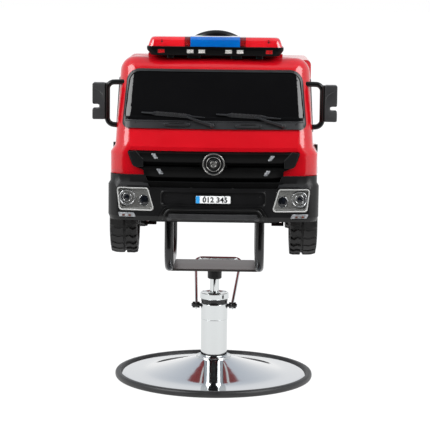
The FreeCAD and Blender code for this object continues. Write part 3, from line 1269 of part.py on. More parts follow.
def wheel_form(bore):
    """A wheel on its own axis along X, its outer face towards +X, its inner face at zero."""
    width = d.wheel_outer_x - d.wheel_inner_x
    radius = d.wheel_radius
    lip = d.wheel_shoulder
    dish = d.wheel_dish
    ring = d.wheel_dish_radius
    wall = d.wheel_wall
    outer_floor = width - dish
    profile = [
        (0, bore), (0, ring - wall), (lip / 2, ring), (0, ring + lip),
        (lip / 2, radius - lip), (lip, radius), (width - lip, radius),
        (width - lip / 2, radius - lip), (width, ring + lip), (width - lip / 2, ring),
        (outer_floor, ring - wall), (outer_floor, d.wheel_hub_radius + wall),
        (width - lip, d.wheel_hub_radius), (width - lip, bore),
    ]
    face = Part.Face(Part.makePolygon([Vector(x, 0, r) for x, r in profile + profile[:1]]))
    wheel = face.revolve(Vector(0, 0, 0), Vector(1, 0, 0), 360)
    # The inner side is moulded hollow, with radial ribs between hub and tread
    core = d.wheel_hub_radius + wall
    cavity = rod_x(radius - d.tread_depth - wall, -d.overrun, outer_floor - wall, 0, 0).cut(
        rod_x(core, -d.overrun, outer_floor - wall, 0, 0))
    ribs = []
    for step in range(int(d.wheel_rib_count)):
        rib = Part.makeBox(width, d.wheel_rib, radius, Vector(0, -d.wheel_rib / 2, 0))
        rib.rotate(Vector(0, 0, 0), Vector(1, 0, 0), 360 * step / d.wheel_rib_count)
        ribs.append(rib)
    wheel = wheel.cut(cavity.cut(ribs))
    # Lugs on the inner half, short notches on the outer shoulder, one groove round the middle
    cuts = []
    for step in range(int(d.tread_count)):
        angle = 360 * step / d.tread_count
        lug = Part.makeBox(d.tread_reach, d.tread_groove, 2 * d.tread_depth,
                           Vector(-d.overrun, -d.tread_groove / 2, radius - d.tread_depth))
        lug.rotate(Vector(0, 0, 0), Vector(1, 0, 0), angle)
        notch = Part.makeBox(lip * 2, d.tread_groove, 2 * d.tread_depth,
                             Vector(width - lip * 3 / 2, -d.tread_groove / 2,
                                    radius - d.tread_depth))
        notch.rotate(Vector(0, 0, 0), Vector(1, 0, 0), angle + 180 / d.tread_count)
        cuts += [lug, notch]
    band = rod_x(radius + d.overrun, d.tread_reach, d.tread_reach + d.tread_ring_width, 0, 0).cut(
        rod_x(radius - d.tread_depth / 2, d.tread_reach, d.tread_reach + d.tread_ring_width, 0, 0))
    return wheel.cut(cuts + [band])


def build_wheels():
    front_wheel = wheel_form(d.stub_axle_radius + d.axle_clearance)
    rear_wheel = wheel_form(d.rear_axle_radius + d.axle_clearance)
    for end, y, form in (("front", -d.front_axle_y, front_wheel), ("rear", d.rear_axle_y, rear_wheel)):
        right = form.copy()
        right.translate(Vector(d.wheel_inner_x, y, d.axle_z))
        feature("wheel_%s_right" % end, right)
        feature("wheel_%s_left" % end, mirrored(right))


build_base()
build_pump_foot()
build_pump()
build_lever()
frame_bolts = build_frame()
build_chassis(frame_bolts)
build_cab()
build_rear_body()
build_windscreen()
build_grille()
build_bumper()
build_mirrors()
build_lightbar()
build_dashboard()
build_steering()
build_seat()
build_pedal()
build_axles()
build_wheels()
doc.recompute()

# Every object has to be sound before anything is written
for thing in doc.Objects:
    if "Invalid" in thing.State or "Error" in thing.State:
        raise RuntimeError("%s failed: %s" % (thing.Name, thing.State))
for thing in kept:
    if thing.Shape.isNull() or not thing.Shape.isValid() or not thing.Shape.Solids:
        raise RuntimeError("%s has no sound shape" % thing.Label)

os.makedirs("parts", exist_ok=True)
for thing in kept:
    thing.Shape.exportStep("parts/%s.step" % thing.Label)
    print("%-20s %2d solids %12.0f mm3" % (thing.Label, len(thing.Shape.Solids), thing.Shape.Volume))
print(len(kept), "nodes")
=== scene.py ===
import json
import math

import bmesh
import bpy
from mathutils import Matrix, Vector
from mathutils.bvhtree import BVHTree

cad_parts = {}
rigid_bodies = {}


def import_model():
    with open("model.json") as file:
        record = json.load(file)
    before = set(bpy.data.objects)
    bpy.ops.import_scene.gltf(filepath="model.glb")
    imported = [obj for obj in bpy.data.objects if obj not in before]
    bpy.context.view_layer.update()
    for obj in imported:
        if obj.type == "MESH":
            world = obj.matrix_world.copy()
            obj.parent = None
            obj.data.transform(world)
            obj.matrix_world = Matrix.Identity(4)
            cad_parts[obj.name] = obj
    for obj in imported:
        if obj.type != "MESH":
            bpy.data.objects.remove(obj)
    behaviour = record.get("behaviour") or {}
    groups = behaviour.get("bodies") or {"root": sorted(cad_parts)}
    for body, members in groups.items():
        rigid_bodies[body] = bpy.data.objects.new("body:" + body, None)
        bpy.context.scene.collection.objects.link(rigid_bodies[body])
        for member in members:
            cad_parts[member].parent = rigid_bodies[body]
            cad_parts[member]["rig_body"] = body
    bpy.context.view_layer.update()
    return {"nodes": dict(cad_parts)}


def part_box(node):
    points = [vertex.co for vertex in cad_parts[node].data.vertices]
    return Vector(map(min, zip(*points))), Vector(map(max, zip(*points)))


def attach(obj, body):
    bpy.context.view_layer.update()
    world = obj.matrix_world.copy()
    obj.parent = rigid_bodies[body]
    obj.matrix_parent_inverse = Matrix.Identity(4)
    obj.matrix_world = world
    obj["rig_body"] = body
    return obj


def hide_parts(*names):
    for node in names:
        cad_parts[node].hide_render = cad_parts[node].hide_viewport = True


# Kids car barber chair: a red truck body on a steel frame, a foot pump and a round chromed base.
# Metres, +Z up, the truck's front looks along -Y. A mm value is a length in millimetres.

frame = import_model()
mm = 0.001
up = Vector((0, 0, 1))
forward = Vector((0, -1, 0))
finishes = {}


# Small helpers for colours, node trees and meshes

def linear(hexColour):
    channels = []
    for place in (1, 3, 5):
        value = int(hexColour[place:place + 2], 16) / 255
        channels.append(value / 12.92 if value <= 0.04045 else ((value + 0.055) / 1.055) ** 2.4)
    return (*channels, 1.0)


def addNode(tree, kind, settings=None, links=None):
    node = tree.nodes.new(kind)
    for key, value in (settings or {}).items():
        if isinstance(key, int) or key in node.inputs:
            node.inputs[key].default_value = value
        else:
            setattr(node, key, value)
    for key, source in (links or {}).items():
        source = source.outputs[0] if isinstance(source, bpy.types.Node) else source
        tree.links.new(source, node.inputs[key])
    return node


def newFinish(name, hexColour, **sockets):
    material = bpy.data.materials.new(name)
    material.use_nodes = True
    shader = material.node_tree.nodes["Principled BSDF"]
    shader.inputs["Base Color"].default_value = linear(hexColour)
    for socket, value in sockets.items():
        shader.inputs[socket.replace("_", " ")].default_value = value
    material.diffuse_color = linear(hexColour)
    return material, material.node_tree, shader


def roughen(tree, shader, grainSize, depth, roughness, detail, along, edge):
    # A relief of one real grain size, edges that catch the light as moulded and rolled ones do,
    # and gloss that varies with a wider, softer cloud
    place = addNode(tree, "ShaderNodeTexCoord").outputs["Object"]
    place = addNode(tree, "ShaderNodeMapping", {"Scale": along}, {"Vector": place}).outputs[0]
    grain = addNode(tree, "ShaderNodeTexNoise", {"Scale": 1 / grainSize, "Detail": detail},
        {"Vector": place})
    softEdge = addNode(tree, "ShaderNodeBevel", {"samples": 4, "Radius": edge})
    relief = addNode(tree, "ShaderNodeBump", {"Strength": 1.0, "Distance": depth},
        {"Height": grain, "Normal": softEdge})
    tree.links.new(relief.outputs[0], shader.inputs["Normal"])
    cloud = addNode(tree, "ShaderNodeTexNoise", {"Scale": 9.0, "Detail": 4.0}, {"Vector": place})
    spread = addNode(tree, "ShaderNodeMapRange", {"To Min": roughness[0], "To Max": roughness[1]},
        {"Value": cloud})
    tree.links.new(spread.outputs[0], shader.inputs["Roughness"])


def vary(tree, shader, hexLow, hexHigh, cloudSize):
    # Slow change of colour over the surface, as dust, handling and moulding leave it
    place = addNode(tree, "ShaderNodeTexCoord").outputs["Object"]
    cloud = addNode(tree, "ShaderNodeTexNoise", {"Scale": 1 / cloudSize, "Detail": 3.0}, {"Vector": place})
    blend = addNode(tree, "ShaderNodeValToRGB", links={"Fac": cloud})
    for stop, position, hexColour in zip(blend.color_ramp.elements, (0.35, 0.65), (hexLow, hexHigh)):
        stop.position = position
        stop.color = linear(hexColour)
    tree.links.new(blend.outputs[0], shader.inputs["Base Color"])


def addFinish(key, name, hexColour, grain=None, cloud=None, detail=3.0, along=(1, 1, 1), edge=1.2 * mm,
        **sockets):
    # The grain is its size and depth in millimetres and the least and greatest roughness, and the
    # cloud is two colours and the size of their patches in millimetres
    material, tree, shader = newFinish(name, hexColour, **sockets)
    if grain:
        roughen(tree, shader, grain[0] * mm, grain[1] * mm, grain[2:], detail, along, edge)
    if cloud:
        vary(tree, shader, cloud[0], cloud[1], cloud[2] * mm)
    finishes[key] = material
    return tree, shader


# Finishes, each named for what the real one is

def makeFinishes():
    # Injection-moulded gloss polypropylene: a deep red with a hard, slightly rippled shine
    addFinish("red", "Gloss red polypropylene", "#B30816", grain=(28, 0.05, 0.16, 0.2), detail=1.0,
        cloud=("#AE0815", "#B70A18", 120), IOR=1.5, Coat_Weight=0.35, Coat_Roughness=0.04, Coat_IOR=1.5)

    # The same plastic underneath, unpolished, painted a darker red as shade under the truck
    addFinish("redInner", "Matt red polypropylene, darkened as shade", "#7C070C", grain=(1.6, 0.06, 0.42, 0.5),
        cloud=("#74060B", "#86090E", 90), IOR=1.5)

    # Spark-eroded black polypropylene: fine leather-like grain that breaks up the shine
    addFinish("grained", "Grained black polypropylene", "#0A0A0B", grain=(1.4, 0.09, 0.34, 0.44),
        cloud=("#080809", "#0D0D0E", 60), IOR=1.49, Specular_IOR_Level=0.33)

    # Smoother satin black plastic for slats, mirrors and trims
    addFinish("satin", "Satin black polypropylene", "#090909", grain=(2.5, 0.03, 0.26, 0.34),
        cloud=("#080808", "#0C0C0C", 80), IOR=1.49, Specular_IOR_Level=0.36)

    # Dark grey satin surround of the windscreen and the mirrors
    addFinish("surround", "Dark grey satin polypropylene", "#1C1D1F", grain=(1.8, 0.05, 0.34, 0.42),
        cloud=("#191A1C", "#202123", 70), IOR=1.49)

    # The grille's slats, moulded nearly matt, so that they stay darker than the bumper
    addFinish("slatBlack", "Matt black polypropylene", "#050505", grain=(2.0, 0.04, 0.34, 0.44),
        cloud=("#040404", "#070707", 80), IOR=1.49, Specular_IOR_Level=0.12)

    # Mirror shells, moulded in a lighter grey-black
    addFinish("shellGrey", "Charcoal polypropylene", "#2B2B2C", grain=(1.6, 0.06, 0.36, 0.46),
        cloud=("#262627", "#313132", 60), IOR=1.49)

    # Polished black acrylic, as deep as glass
    addFinish("acrylic", "Polished black acrylic", "#0B0B0C", grain=(160, 0.05, 0.02, 0.045), detail=0.0,
        cloud=("#0A0A0B", "#0D0D0E", 200), IOR=1.49)

    # Nickel-chrome plate on steel: a cold mirror, with the faintest haze of handling
    addFinish("chrome", "Nickel chrome plate", "#CFD2D2", grain=(220, 0.03, 0.02, 0.055), detail=0.0,
        edge=0.4 * mm, Metallic=1.0)

    # Plate on the spun dish, which shows the slight rings of its spinning
    addFinish("dish", "Chromed spun steel", "#D6D8DA", grain=(260, 0.05, 0.05, 0.09), detail=0.0,
        Metallic=1.0)

    # Turned bare steel, with rings of the tool a fifth of a millimetre apart drawn at one
    addFinish("steel", "Turned steel", "#8E9094", grain=(1.0, 0.02, 0.25, 0.38), along=(1, 1, 12),
        Metallic=1.0)

    # Zinc-plated fasteners: bluish, a little mottled
    addFinish("zinc", "Zinc plate", "#A9ACB0", grain=(1.2, 0.02, 0.28, 0.45), Metallic=1.0)

    # Satin black powder coat on tube: an even orange peel a few millimetres across
    addFinish("powder", "Satin black powder coat", "#0C0C0D", grain=(3.0, 0.04, 0.2, 0.27),
        cloud=("#0B0B0C", "#101011", 90), IOR=1.5)

    # Sheet steel under the same coat, drawn finer; its grey colour is painted sheen for how it turns grey
    # where seen flat, on top of its real reflection
    addFinish("plate", "Coated plate greyed as painted sheen", "#4B4947", grain=(2.0, 0.03, 0.3, 0.42),
        along=(0.06, 1, 1), IOR=1.5, Metallic=0.35)

    # Extruded rubber edge of the base: matt, with a hint of bloom
    addFinish("rubber", "Black edge rubber", "#121213", grain=(1.6, 0.08, 0.38, 0.5),
        cloud=("#101011", "#19191A", 50), IOR=1.52)

    # Blow-moulded wheel plastic: matt black, dusty in the tread
    addFinish("tyre", "Matt black wheel plastic", "#0F0F0E", grain=(1.5, 0.12, 0.48, 0.62),
        cloud=("#0B0B0B", "#161515", 35), IOR=1.49, Specular_IOR_Level=0.4)

    # Tinted polycarbonate of the beacons: clear, saturated and glossy
    addFinish("redLens", "Red polycarbonate", "#B8141D", cloud=("#AE1019", "#C21822", 60), IOR=1.58,
        Roughness=0.06, Coat_Weight=0.6, Coat_Roughness=0.03, Subsurface_Weight=0.25, Subsurface_Scale=0.02)
    addFinish("blueLens", "Blue polycarbonate", "#01529C", cloud=("#014E96", "#0257A4", 60), IOR=1.58,
        Roughness=0.06, Coat_Weight=0.6, Coat_Roughness=0.03, Subsurface_Weight=0.25, Subsurface_Scale=0.02)
    addFinish("shadeLens", "Dark red polycarbonate", "#4A0408", cloud=("#3E0306", "#5A060B", 20), IOR=1.58,
        Roughness=0.08, Coat_Weight=0.5, Coat_Roughness=0.04)

    # Clear acrylic cover: almost invisible but for its edges and highlights
    addFinish("clear", "Clear acrylic", "#16181A", IOR=1.49, Roughness=0.02, Alpha=0.14)

    # Vacuum-metallised lamp bowl: a soft, slightly wavy silver
    addFinish("bowl", "Metallised lamp bowl", "#858582", grain=(9.0, 0.1, 0.26, 0.38), detail=1.0,
        Metallic=0.45, IOR=1.5)

    # Lamp glass that shows dark: a deep blue-black lens
    addFinish("darkLens", "Smoked lamp lens", "#0A0D12", cloud=("#080A0F", "#12161E", 8), IOR=1.55,
        Roughness=0.05, Coat_Weight=0.7, Coat_Roughness=0.02)

    # White polystyrene of the number plate, the light-emitting windows and the dial
    addFinish("white", "White polystyrene", "#E9EAEA", grain=(12, 0.02, 0.22, 0.3), detail=1.0,
        cloud=("#E4E5E5", "#EFF0F0", 25), IOR=1.59)
    addFinish("window", "Frosted lamp window", "#B9B6B2", cloud=("#8F8C88", "#DAD8D4", 3), IOR=1.5,
        Roughness=0.3)
    addFinish("redWindow", "Frosted red window", "#A81014", cloud=("#7A0A0D", "#C8181C", 3), IOR=1.5,
        Roughness=0.25)

    # Printed inks
    addFinish("blueInk", "Blue print", "#2A8FD0", cloud=("#2A8CCB", "#3497D8", 10), IOR=1.5, Roughness=0.3)
    addFinish("blackInk", "Black print", "#0B0B0C", cloud=("#0A0A0B", "#131314", 10), IOR=1.5,
        Roughness=0.35)

    # Chrome-coloured lamp rings, light grey bezels whose colour is painted reflection of bright chrome, and
    # the satin nickel of the badge's
    addFinish("lampRing", "Metallised ring", "#E4E5E6", grain=(6.0, 0.02, 0.08, 0.16), Metallic=1.0)
    addFinish("bezelPaint", "Light grey bezel, painted chrome sheen", "#C2C2C0", grain=(3.0, 0.02, 0.22, 0.3), Metallic=0.35,
        IOR=1.5)
    addFinish("nickel", "Satin nickel plate", "#9D9C99", grain=(1.0, 0.02, 0.2, 0.34), Metallic=1.0)

    # Silver lacquer on the slats of the roller shutters, a little orange-peeled
    addFinish("shutter", "Silver lacquer", "#8A8C8E", grain=(2.2, 0.02, 0.3, 0.4),
        cloud=("#828486", "#949698", 70), Metallic=0.6, IOR=1.5)

    # Half-clear pearl plastic of the fog lamps; the pale patches on the grille's slats in it are painted
    # glints, where the slats catch the light
    addFinish("insert", "Pearl acrylic and painted glints", "#77797C", cloud=("#515356", "#9B9DA0", 9), IOR=1.49,
        Roughness=0.22, Coat_Weight=0.5, Coat_Roughness=0.05)

    # Tinted plastic of the fog lamps and of the turn signals
    addFinish("amber", "Brown tinted lens", "#4A2A22", cloud=("#38201B", "#6A3A2C", 4), IOR=1.55,
        Roughness=0.15)
    addFinish("orange", "Orange turn-signal lens", "#C85206", grain=(1.2, 0.05, 0.1, 0.16), IOR=1.49)

    # Mirror film on the backs of the door mirrors
    addFinish("mirror", "Mirror film", "#E6EAEE", Metallic=1.0, Roughness=0.015)

    # Soft vinyl of the pads: a pebbled grain of 1.5 mm, drawn at 2.5 mm so that it shows
    tree, shader = addFinish("vinyl", "Black grained vinyl", "#151414", cloud=("#121111", "#1D1B1B", 40),
        IOR=1.5, Sheen_Weight=0.08, Sheen_Roughness=0.4)
    place = addNode(tree, "ShaderNodeTexCoord").outputs["Object"]
    pebbles = addNode(tree, "ShaderNodeTexVoronoi", {"feature": "DISTANCE_TO_EDGE",
        "Scale": 1 / (2.5 * mm)}, {"Vector": place})
    dome = addNode(tree, "ShaderNodeMapRange", {"From Max": 0.25}, {"Value": pebbles})
    relief = addNode(tree, "ShaderNodeBump", {"Strength": 0.7, "Distance": 0.25 * mm}, {"Height": dome})
    tree.links.new(relief.outputs[0], shader.inputs["Normal"])
    wear = addNode(tree, "ShaderNodeTexNoise", {"Scale": 14.0, "Detail": 4.0}, {"Vector": place})
    gloss = addNode(tree, "ShaderNodeMapRange", {"To Min": 0.36, "To Max": 0.52}, {"Value": wear})
    tree.links.new(gloss.outputs[0], shader.inputs["Roughness"])

    # Waxed polyester thread of the seams
    addFinish("thread", "Red polyester thread", "#9E1216", cloud=("#8A0E12", "#B0181C", 2), IOR=1.5,
        Roughness=0.6)
    print("finishes made:", len(finishes))


# Mesh work

def objectFrom(name, mesh, finish, sharpDegrees=32.0):
    data = bpy.data.meshes.new(name)
    bmesh.ops.recalc_face_normals(mesh, faces=mesh.faces)
    mesh.to_mesh(data)
    mesh.free()
    data.materials.append(finishes[finish])
    data.shade_smooth()
    data.set_sharp_from_angle(angle=math.radians(sharpDegrees))
    piece = bpy.data.objects.new(name, data)
    bpy.context.scene.collection.objects.link(piece)
    return piece


def modified(piece, kind, **settings):
    modifier = piece.modifiers.new(kind.title(), kind)
    for key, value in settings.items():
        setattr(modifier, key, value)
    return piece


def settle(piece):
    # Turns the modifiers into plain mesh
    graph = bpy.context.evaluated_depsgraph_get()
    data = bpy.data.meshes.new_from_object(piece.evaluated_get(graph))
    piece.modifiers.clear()
    piece.data = data
    return piece


def finishPiece(piece, body, slotName, *replaced):
    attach(piece, body)
    if replaced:
        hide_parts(*replaced)
    return piece


def addPiece(name, mesh, finish, body, slotName, *replaced, sharp=32.0):
    return finishPiece(objectFrom(name, mesh, finish, sharp), body, slotName, *replaced)


def metres(points):
    # The same points, given in millimetres
    return [tuple(value * mm for value in point) for point in points]


def weldedCopy(nodeName):
    mesh = bmesh.new()
    mesh.from_mesh(frame["nodes"][nodeName].data)
    bmesh.ops.remove_doubles(mesh, verts=mesh.verts, dist=0.01 * mm)
    return mesh


bowedNodes = ("cab_shell", "bumper", "windscreen_frame", "windscreen_panel")


def dress(nodeName, finish, slotName, sharpDegrees=32.0):
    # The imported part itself, welded so that its round faces shade smoothly and its flats evenly
    piece = objectFrom(nodeName + "_shown", weldedCopy(nodeName), finish, sharpDegrees)
    settle(modified(piece, "WEIGHTED_NORMAL", keep_sharp=True, weight=100))
    if nodeName in bowedNodes:
        bowShade(piece)
    return finishPiece(piece, frame["nodes"][nodeName]["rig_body"], slotName, nodeName)


def bowShade(piece, bowRadius=1.79, halfFlat=0.27):
    # The truck's front is one long bow, which few wide facets would shade in patches
    data = piece.data
    normals = [corner.vector.copy() for corner in data.corner_normals]
    for face in data.polygons:
        if face.normal.y > -0.8 or abs(face.center.x) > halfFlat or face.area < 60 * mm * mm:
            continue
        for corner in face.loop_indices:
            x = data.vertices[data.loops[corner].vertex_index].co.x
            level = Vector((x / bowRadius, -1, 0)).normalized() * math.sqrt(1 - face.normal.z ** 2)
            normals[corner] = level + up * face.normal.z
    data.normals_split_custom_set(normals)


searchTrees = {}


def surfaceHit(nodeNames, start, direction):
    # The nearest point of these nodes along a line of sight, and the surface's direction there
    nearest = None
    for name in nodeNames:
        if name not in searchTrees:
            data = frame["nodes"][name].data
            searchTrees[name] = BVHTree.FromPolygons([v.co for v in data.vertices],
                [p.vertices for p in data.polygons])
        point, normal, _, distance = searchTrees[name].ray_cast(Vector(start), Vector(direction))
        if point is not None and (nearest is None or distance < nearest[2]):
            nearest = (point, normal, distance)
    return nearest[0], nearest[1]


def frontPoint(x, z, *nodeNames):
    # The place on the truck's front that is seen at this width and height
    return surfaceHit(nodeNames, (x, -1.2, z), (0, 1, 0))


def dashPoint(x, z):
    # The place on the dashboard that the driver sees at this width and height
    return surfaceHit(["dashboard"], (x, 0.1, z), (0, -1, 0))


def turnTo(direction, start=up):
    return Vector(start).rotation_difference(Vector(direction)).to_matrix().to_4x4()


def guarded(profile, reach=0.4 * mm):
    # A point close to each end of a long run keeps its shading straight
    points = [Vector(point) for point in profile]
    result = [points[0]]
    for start, end in zip(points, points[1:]):
        run = end - start
        if run.length > reach * 4:
            result += [start + run.normalized() * reach, end - run.normalized() * reach]
        result.append(end)
    return result


def lathe(profile, segments=128, centre=(0, 0, 0), axis=(0, 0, 1)):
    # Rings of a (radius, height) profile round an axis, closed at a radius of nothing
    mesh = bmesh.new()
    profile = guarded(profile)
    turn = Matrix.Translation(centre) @ turnTo(axis)
    rings = []
    for radius, height in profile:
        if radius < 1e-6:
            rings.append([mesh.verts.new(turn @ Vector((0, 0, height)))])
            continue
        ring = []
        for step in range(segments):
            angle = 2 * math.pi * step / segments
            place = Vector((radius * math.cos(angle), radius * math.sin(angle), height))
            ring.append(mesh.verts.new(turn @ place))
        rings.append(ring)
    for lower, upper in zip(rings, rings[1:]):
        for step in range(segments):
            onward = (step + 1) % segments
            if len(lower) == 1:
                mesh.faces.new((lower[0], upper[step], upper[onward]))
            elif len(upper) == 1:
                mesh.faces.new((lower[step], lower[onward], upper[0]))
            else:
                mesh.faces.new((lower[step], lower[onward], upper[onward], upper[step]))
    return mesh


def smoothCurve(points, steps=10):
    # A curve through the points, with no overshoot to speak of
    result = []
    padded = [points[0]] + list(points) + [points[-1]]
    for before, start, end, after in zip(padded, padded[1:], padded[2:], padded[3:]):
        for step in range(steps):
            t = step / steps
            place = []
            for b, s, e, a in zip(before, start, end, after):
                slopeIn = (e - b) / 2
                slopeOut = (a - s) / 2
                place.append((2 * t ** 3 - 3 * t ** 2 + 1) * s + (t ** 3 - 2 * t ** 2 + t) * slopeIn
                    + (3 * t ** 2 - 2 * t ** 3) * e + (t ** 3 - t ** 2) * slopeOut)
            result.append(tuple(place))
    result.append(tuple(points[-1]))
    return result


def stacked(rings, closed=False):
    # Rings of equally many points joined in turn, with both ends filled
    mesh = bmesh.new()
    loops = [[mesh.verts.new(point) for point in ring] for ring in rings]
    pairs = list(zip(loops, loops[1:])) + ([(loops[-1], loops[0])] if closed else [])
    for lower, upper in pairs:
        for step in range(len(lower)):
            onward = (step + 1) % len(lower)
            mesh.faces.new((lower[step], lower[onward], upper[onward], upper[step]))
    if not closed:
        mesh.faces.new(loops[0][::-1])
        mesh.faces.new(loops[-1])
    return mesh


def prism(outline, near, far):
    # A flat outline in X and Z, given depth along Y
    return stacked([[(x, y, z) for x, z in outline] for y in (near, far)])


def panel(outline, near, far, edge):
    # The same with a rounded front rim
    rings = []
    for angle in range(0, 91, 18):
        inset = edge * (1 - math.sin(math.radians(angle)))
        depth = near + edge * (1 - math.cos(math.radians(angle)))
        rings.append([(x, depth, z) for x, z in inner(outline, inset)])
    return stacked(rings + [[(x, far, z) for x, z in outline]])


def inner(outline, inset):
    # A flat outline drawn in by this much along each of its sides
    points = [Vector(point) for point in outline]
    area = sum(a.x * b.y - b.x * a.y for a, b in zip(points, points[1:] + points[:1]))
    sense = inset if area > 0 else -inset
    result = []
    for index, here in enumerate(points):
        after = points[(index + 1) % len(points)]
        arriving = (here - points[index - 1]).normalized()
        leaving = (after - here).normalized()
        square = Vector((-arriving.y - leaving.y, arriving.x + leaving.x))
        length = max(square.length_squared / 2, 0.3)
        result.append(tuple(here + square * (sense / length)))
    return result


def stretch(mesh, low, high):
    # The part of a closed shape between two places on X, closed again
    for x, side in ((low, -1), (high, 1)):
        cut = bmesh.ops.bisect_plane(mesh, geom=mesh.verts[:] + mesh.edges[:] + mesh.faces[:],
            plane_co=(x, 0, 0), plane_no=(side, 0, 0), clear_outer=True)
        rim = [part for part in cut["geom_cut"] if isinstance(part, bmesh.types.BMEdge)]
        bmesh.ops.edgeloop_fill(mesh, edges=rim)
    return mesh


def laidOn(outline, levels, nodeNames, closed=False):
    # A form whose rings follow the truck's front: each level has an inset and a depth behind it
    rings = []
    for inset, depth in levels:
        ring = []
        for x, z in inner(outline, inset):
            ring.append((x, frontPoint(x, z, *nodeNames)[0].y + depth, z))
        rings.append(ring)
    return stacked(rings, closed)


def onFace(outline, near, far, place, normal, edge=0.0):
    # A small flat form laid on a surface: its front is turned to the surface's own direction
    mesh = panel(outline, near, far, edge) if edge else prism(outline, near, far)
    return moved(mesh, Matrix.Translation(place) @ turnTo(normal, forward))


def softCorners(outline, radius, steps=5):
    # Rounds the corners of a flat outline
    result = []
    count = len(outline)
    for index in range(count):
        here = Vector(outline[index])
        back = (Vector(outline[index - 1]) - here).normalized()
        onward = (Vector(outline[(index + 1) % count]) - here).normalized()
        half = back.angle(onward) / 2
        centre = here + (back + onward).normalized() * (radius / math.sin(half))
        start = here + back * (radius / math.tan(half)) - centre
        end = here + onward * (radius / math.tan(half)) - centre
        for step in range(steps + 1):
            result.append(tuple(centre + start.slerp(end, step / steps) * radius))
    return result


def tubeAlong(points, radius, sides=12, closed=False):
    # A round bar along the points, with level ends
    places = [Vector(p) for p in points]
    count = len(places)
    rings = []
    side = None
    for index, place in enumerate(places):
        before = places[index - 1] if index or closed else place
        after = places[(index + 1) % count] if index < count - 1 or closed else place
        heading = (after - before).normalized()
        if side is None:
            side = heading.orthogonal().normalized()
        side = (side - heading * side.dot(heading)).normalized()
        other = heading.cross(side)
        size = radius(index / (count - 1)) if callable(radius) else radius
        ring = []
        for step in range(sides):
            angle = 2 * math.pi * step / sides
            ring.append(place + (side * math.cos(angle) + other * math.sin(angle)) * size)
        rings.append(ring)
    return stacked(rings, closed)


def moved(mesh, matrix):
    bmesh.ops.transform(mesh, matrix=matrix, verts=mesh.verts)
    return mesh


def together(*meshes):
    whole = bmesh.new()
    for part in meshes:
        data = bpy.data.meshes.new("part")
        part.to_mesh(data)
        part.free()
        whole.from_mesh(data)
        bpy.data.meshes.remove(data)
    return whole


def flipped(mesh):
    # The mirror image across the truck's middle
    other = mesh.copy()
    bmesh.ops.transform(other, matrix=Matrix.Scale(-1, 4, (1, 0, 0)), verts=other.verts)
    bmesh.ops.reverse_faces(other, faces=other.faces)
    return other


def bothSides(mesh):
    return together(mesh, flipped(mesh))


def barAlong(points, heights, depths, front=(0, -1, 0)):
    # A flat bar with chamfered edges, whose height and depth may change along it
    places = [Vector(p) for p in points]
    if not isinstance(heights, list):
        heights, depths = [heights] * len(places), [depths] * len(places)
    rings = []
    for index, place in enumerate(places):
        before = places[max(index - 1, 0)]
        after = places[min(index + 1, len(places) - 1)]
        heading = (after - before).normalized()
        tall = heading.cross(Vector(front)).normalized()
        deep = tall.cross(heading).normalized()
        h, d = heights[index], depths[index]
        corner = min(h, d) * 0.5
        ring = [(h, d - corner), (h - corner, d), (corner - h, d), (-h, d - corner), (-h, corner - d),
            (corner - h, -d), (h - corner, -d), (h, corner - d)]
        rings.append([place + tall * a + deep * b for a, b in ring])
    return stacked(rings)


def box2(width, height):
    return [(-width / 2, -height / 2), (width / 2, -height / 2), (width / 2, height / 2),
        (-width / 2, height / 2)]


def roundBox(width, height, radius, steps=5):
    return softCorners(box2(width, height), radius, steps)


def ringSection(radius, tube, height=0.0, squash=1.0):
    # The section of a round wire ring, given in millimetres
    section = []
    for degrees in range(0, 361, 30):
        angle = math.radians(degrees)
        section.append((radius + tube * math.cos(angle), height + tube * squash * math.sin(angle)))
    return metres(section)


# Node trees for what repeats: in a ring, in a row, at marked places and along a path

def newTree(name, sockets):
    tree = bpy.data.node_groups.new(name, "GeometryNodeTree")
    tree.is_modifier = True
    sockets = {"Geometry": "Geometry", "Item": "Object", "Finish": "Material", **sockets}
    for label, kind in sockets.items():
        tree.interface.new_socket(label, in_out="INPUT", socket_type="NodeSocket" + kind)
    tree.interface.new_socket("Geometry", in_out="OUTPUT", socket_type="NodeSocketGeometry")
    given = tree.nodes.new("NodeGroupInput")
    item = addNode(tree, "GeometryNodeObjectInfo", links={"Object": given.outputs["Item"]})
    return tree, given.outputs, item.outputs["Geometry"]


def closeTree(tree, given, points, item, rotation=None):
    links = {"Points": points, "Instance": item}
    if rotation:
        links["Rotation"] = rotation
    copies = addNode(tree, "GeometryNodeInstanceOnPoints", links=links)
    whole = addNode(tree, "GeometryNodeRealizeInstances", links={0: copies})
    painted = addNode(tree, "GeometryNodeSetMaterial", links={"Geometry": whole,
        "Material": given["Finish"]})
    addNode(tree, "NodeGroupOutput", links={0: painted})


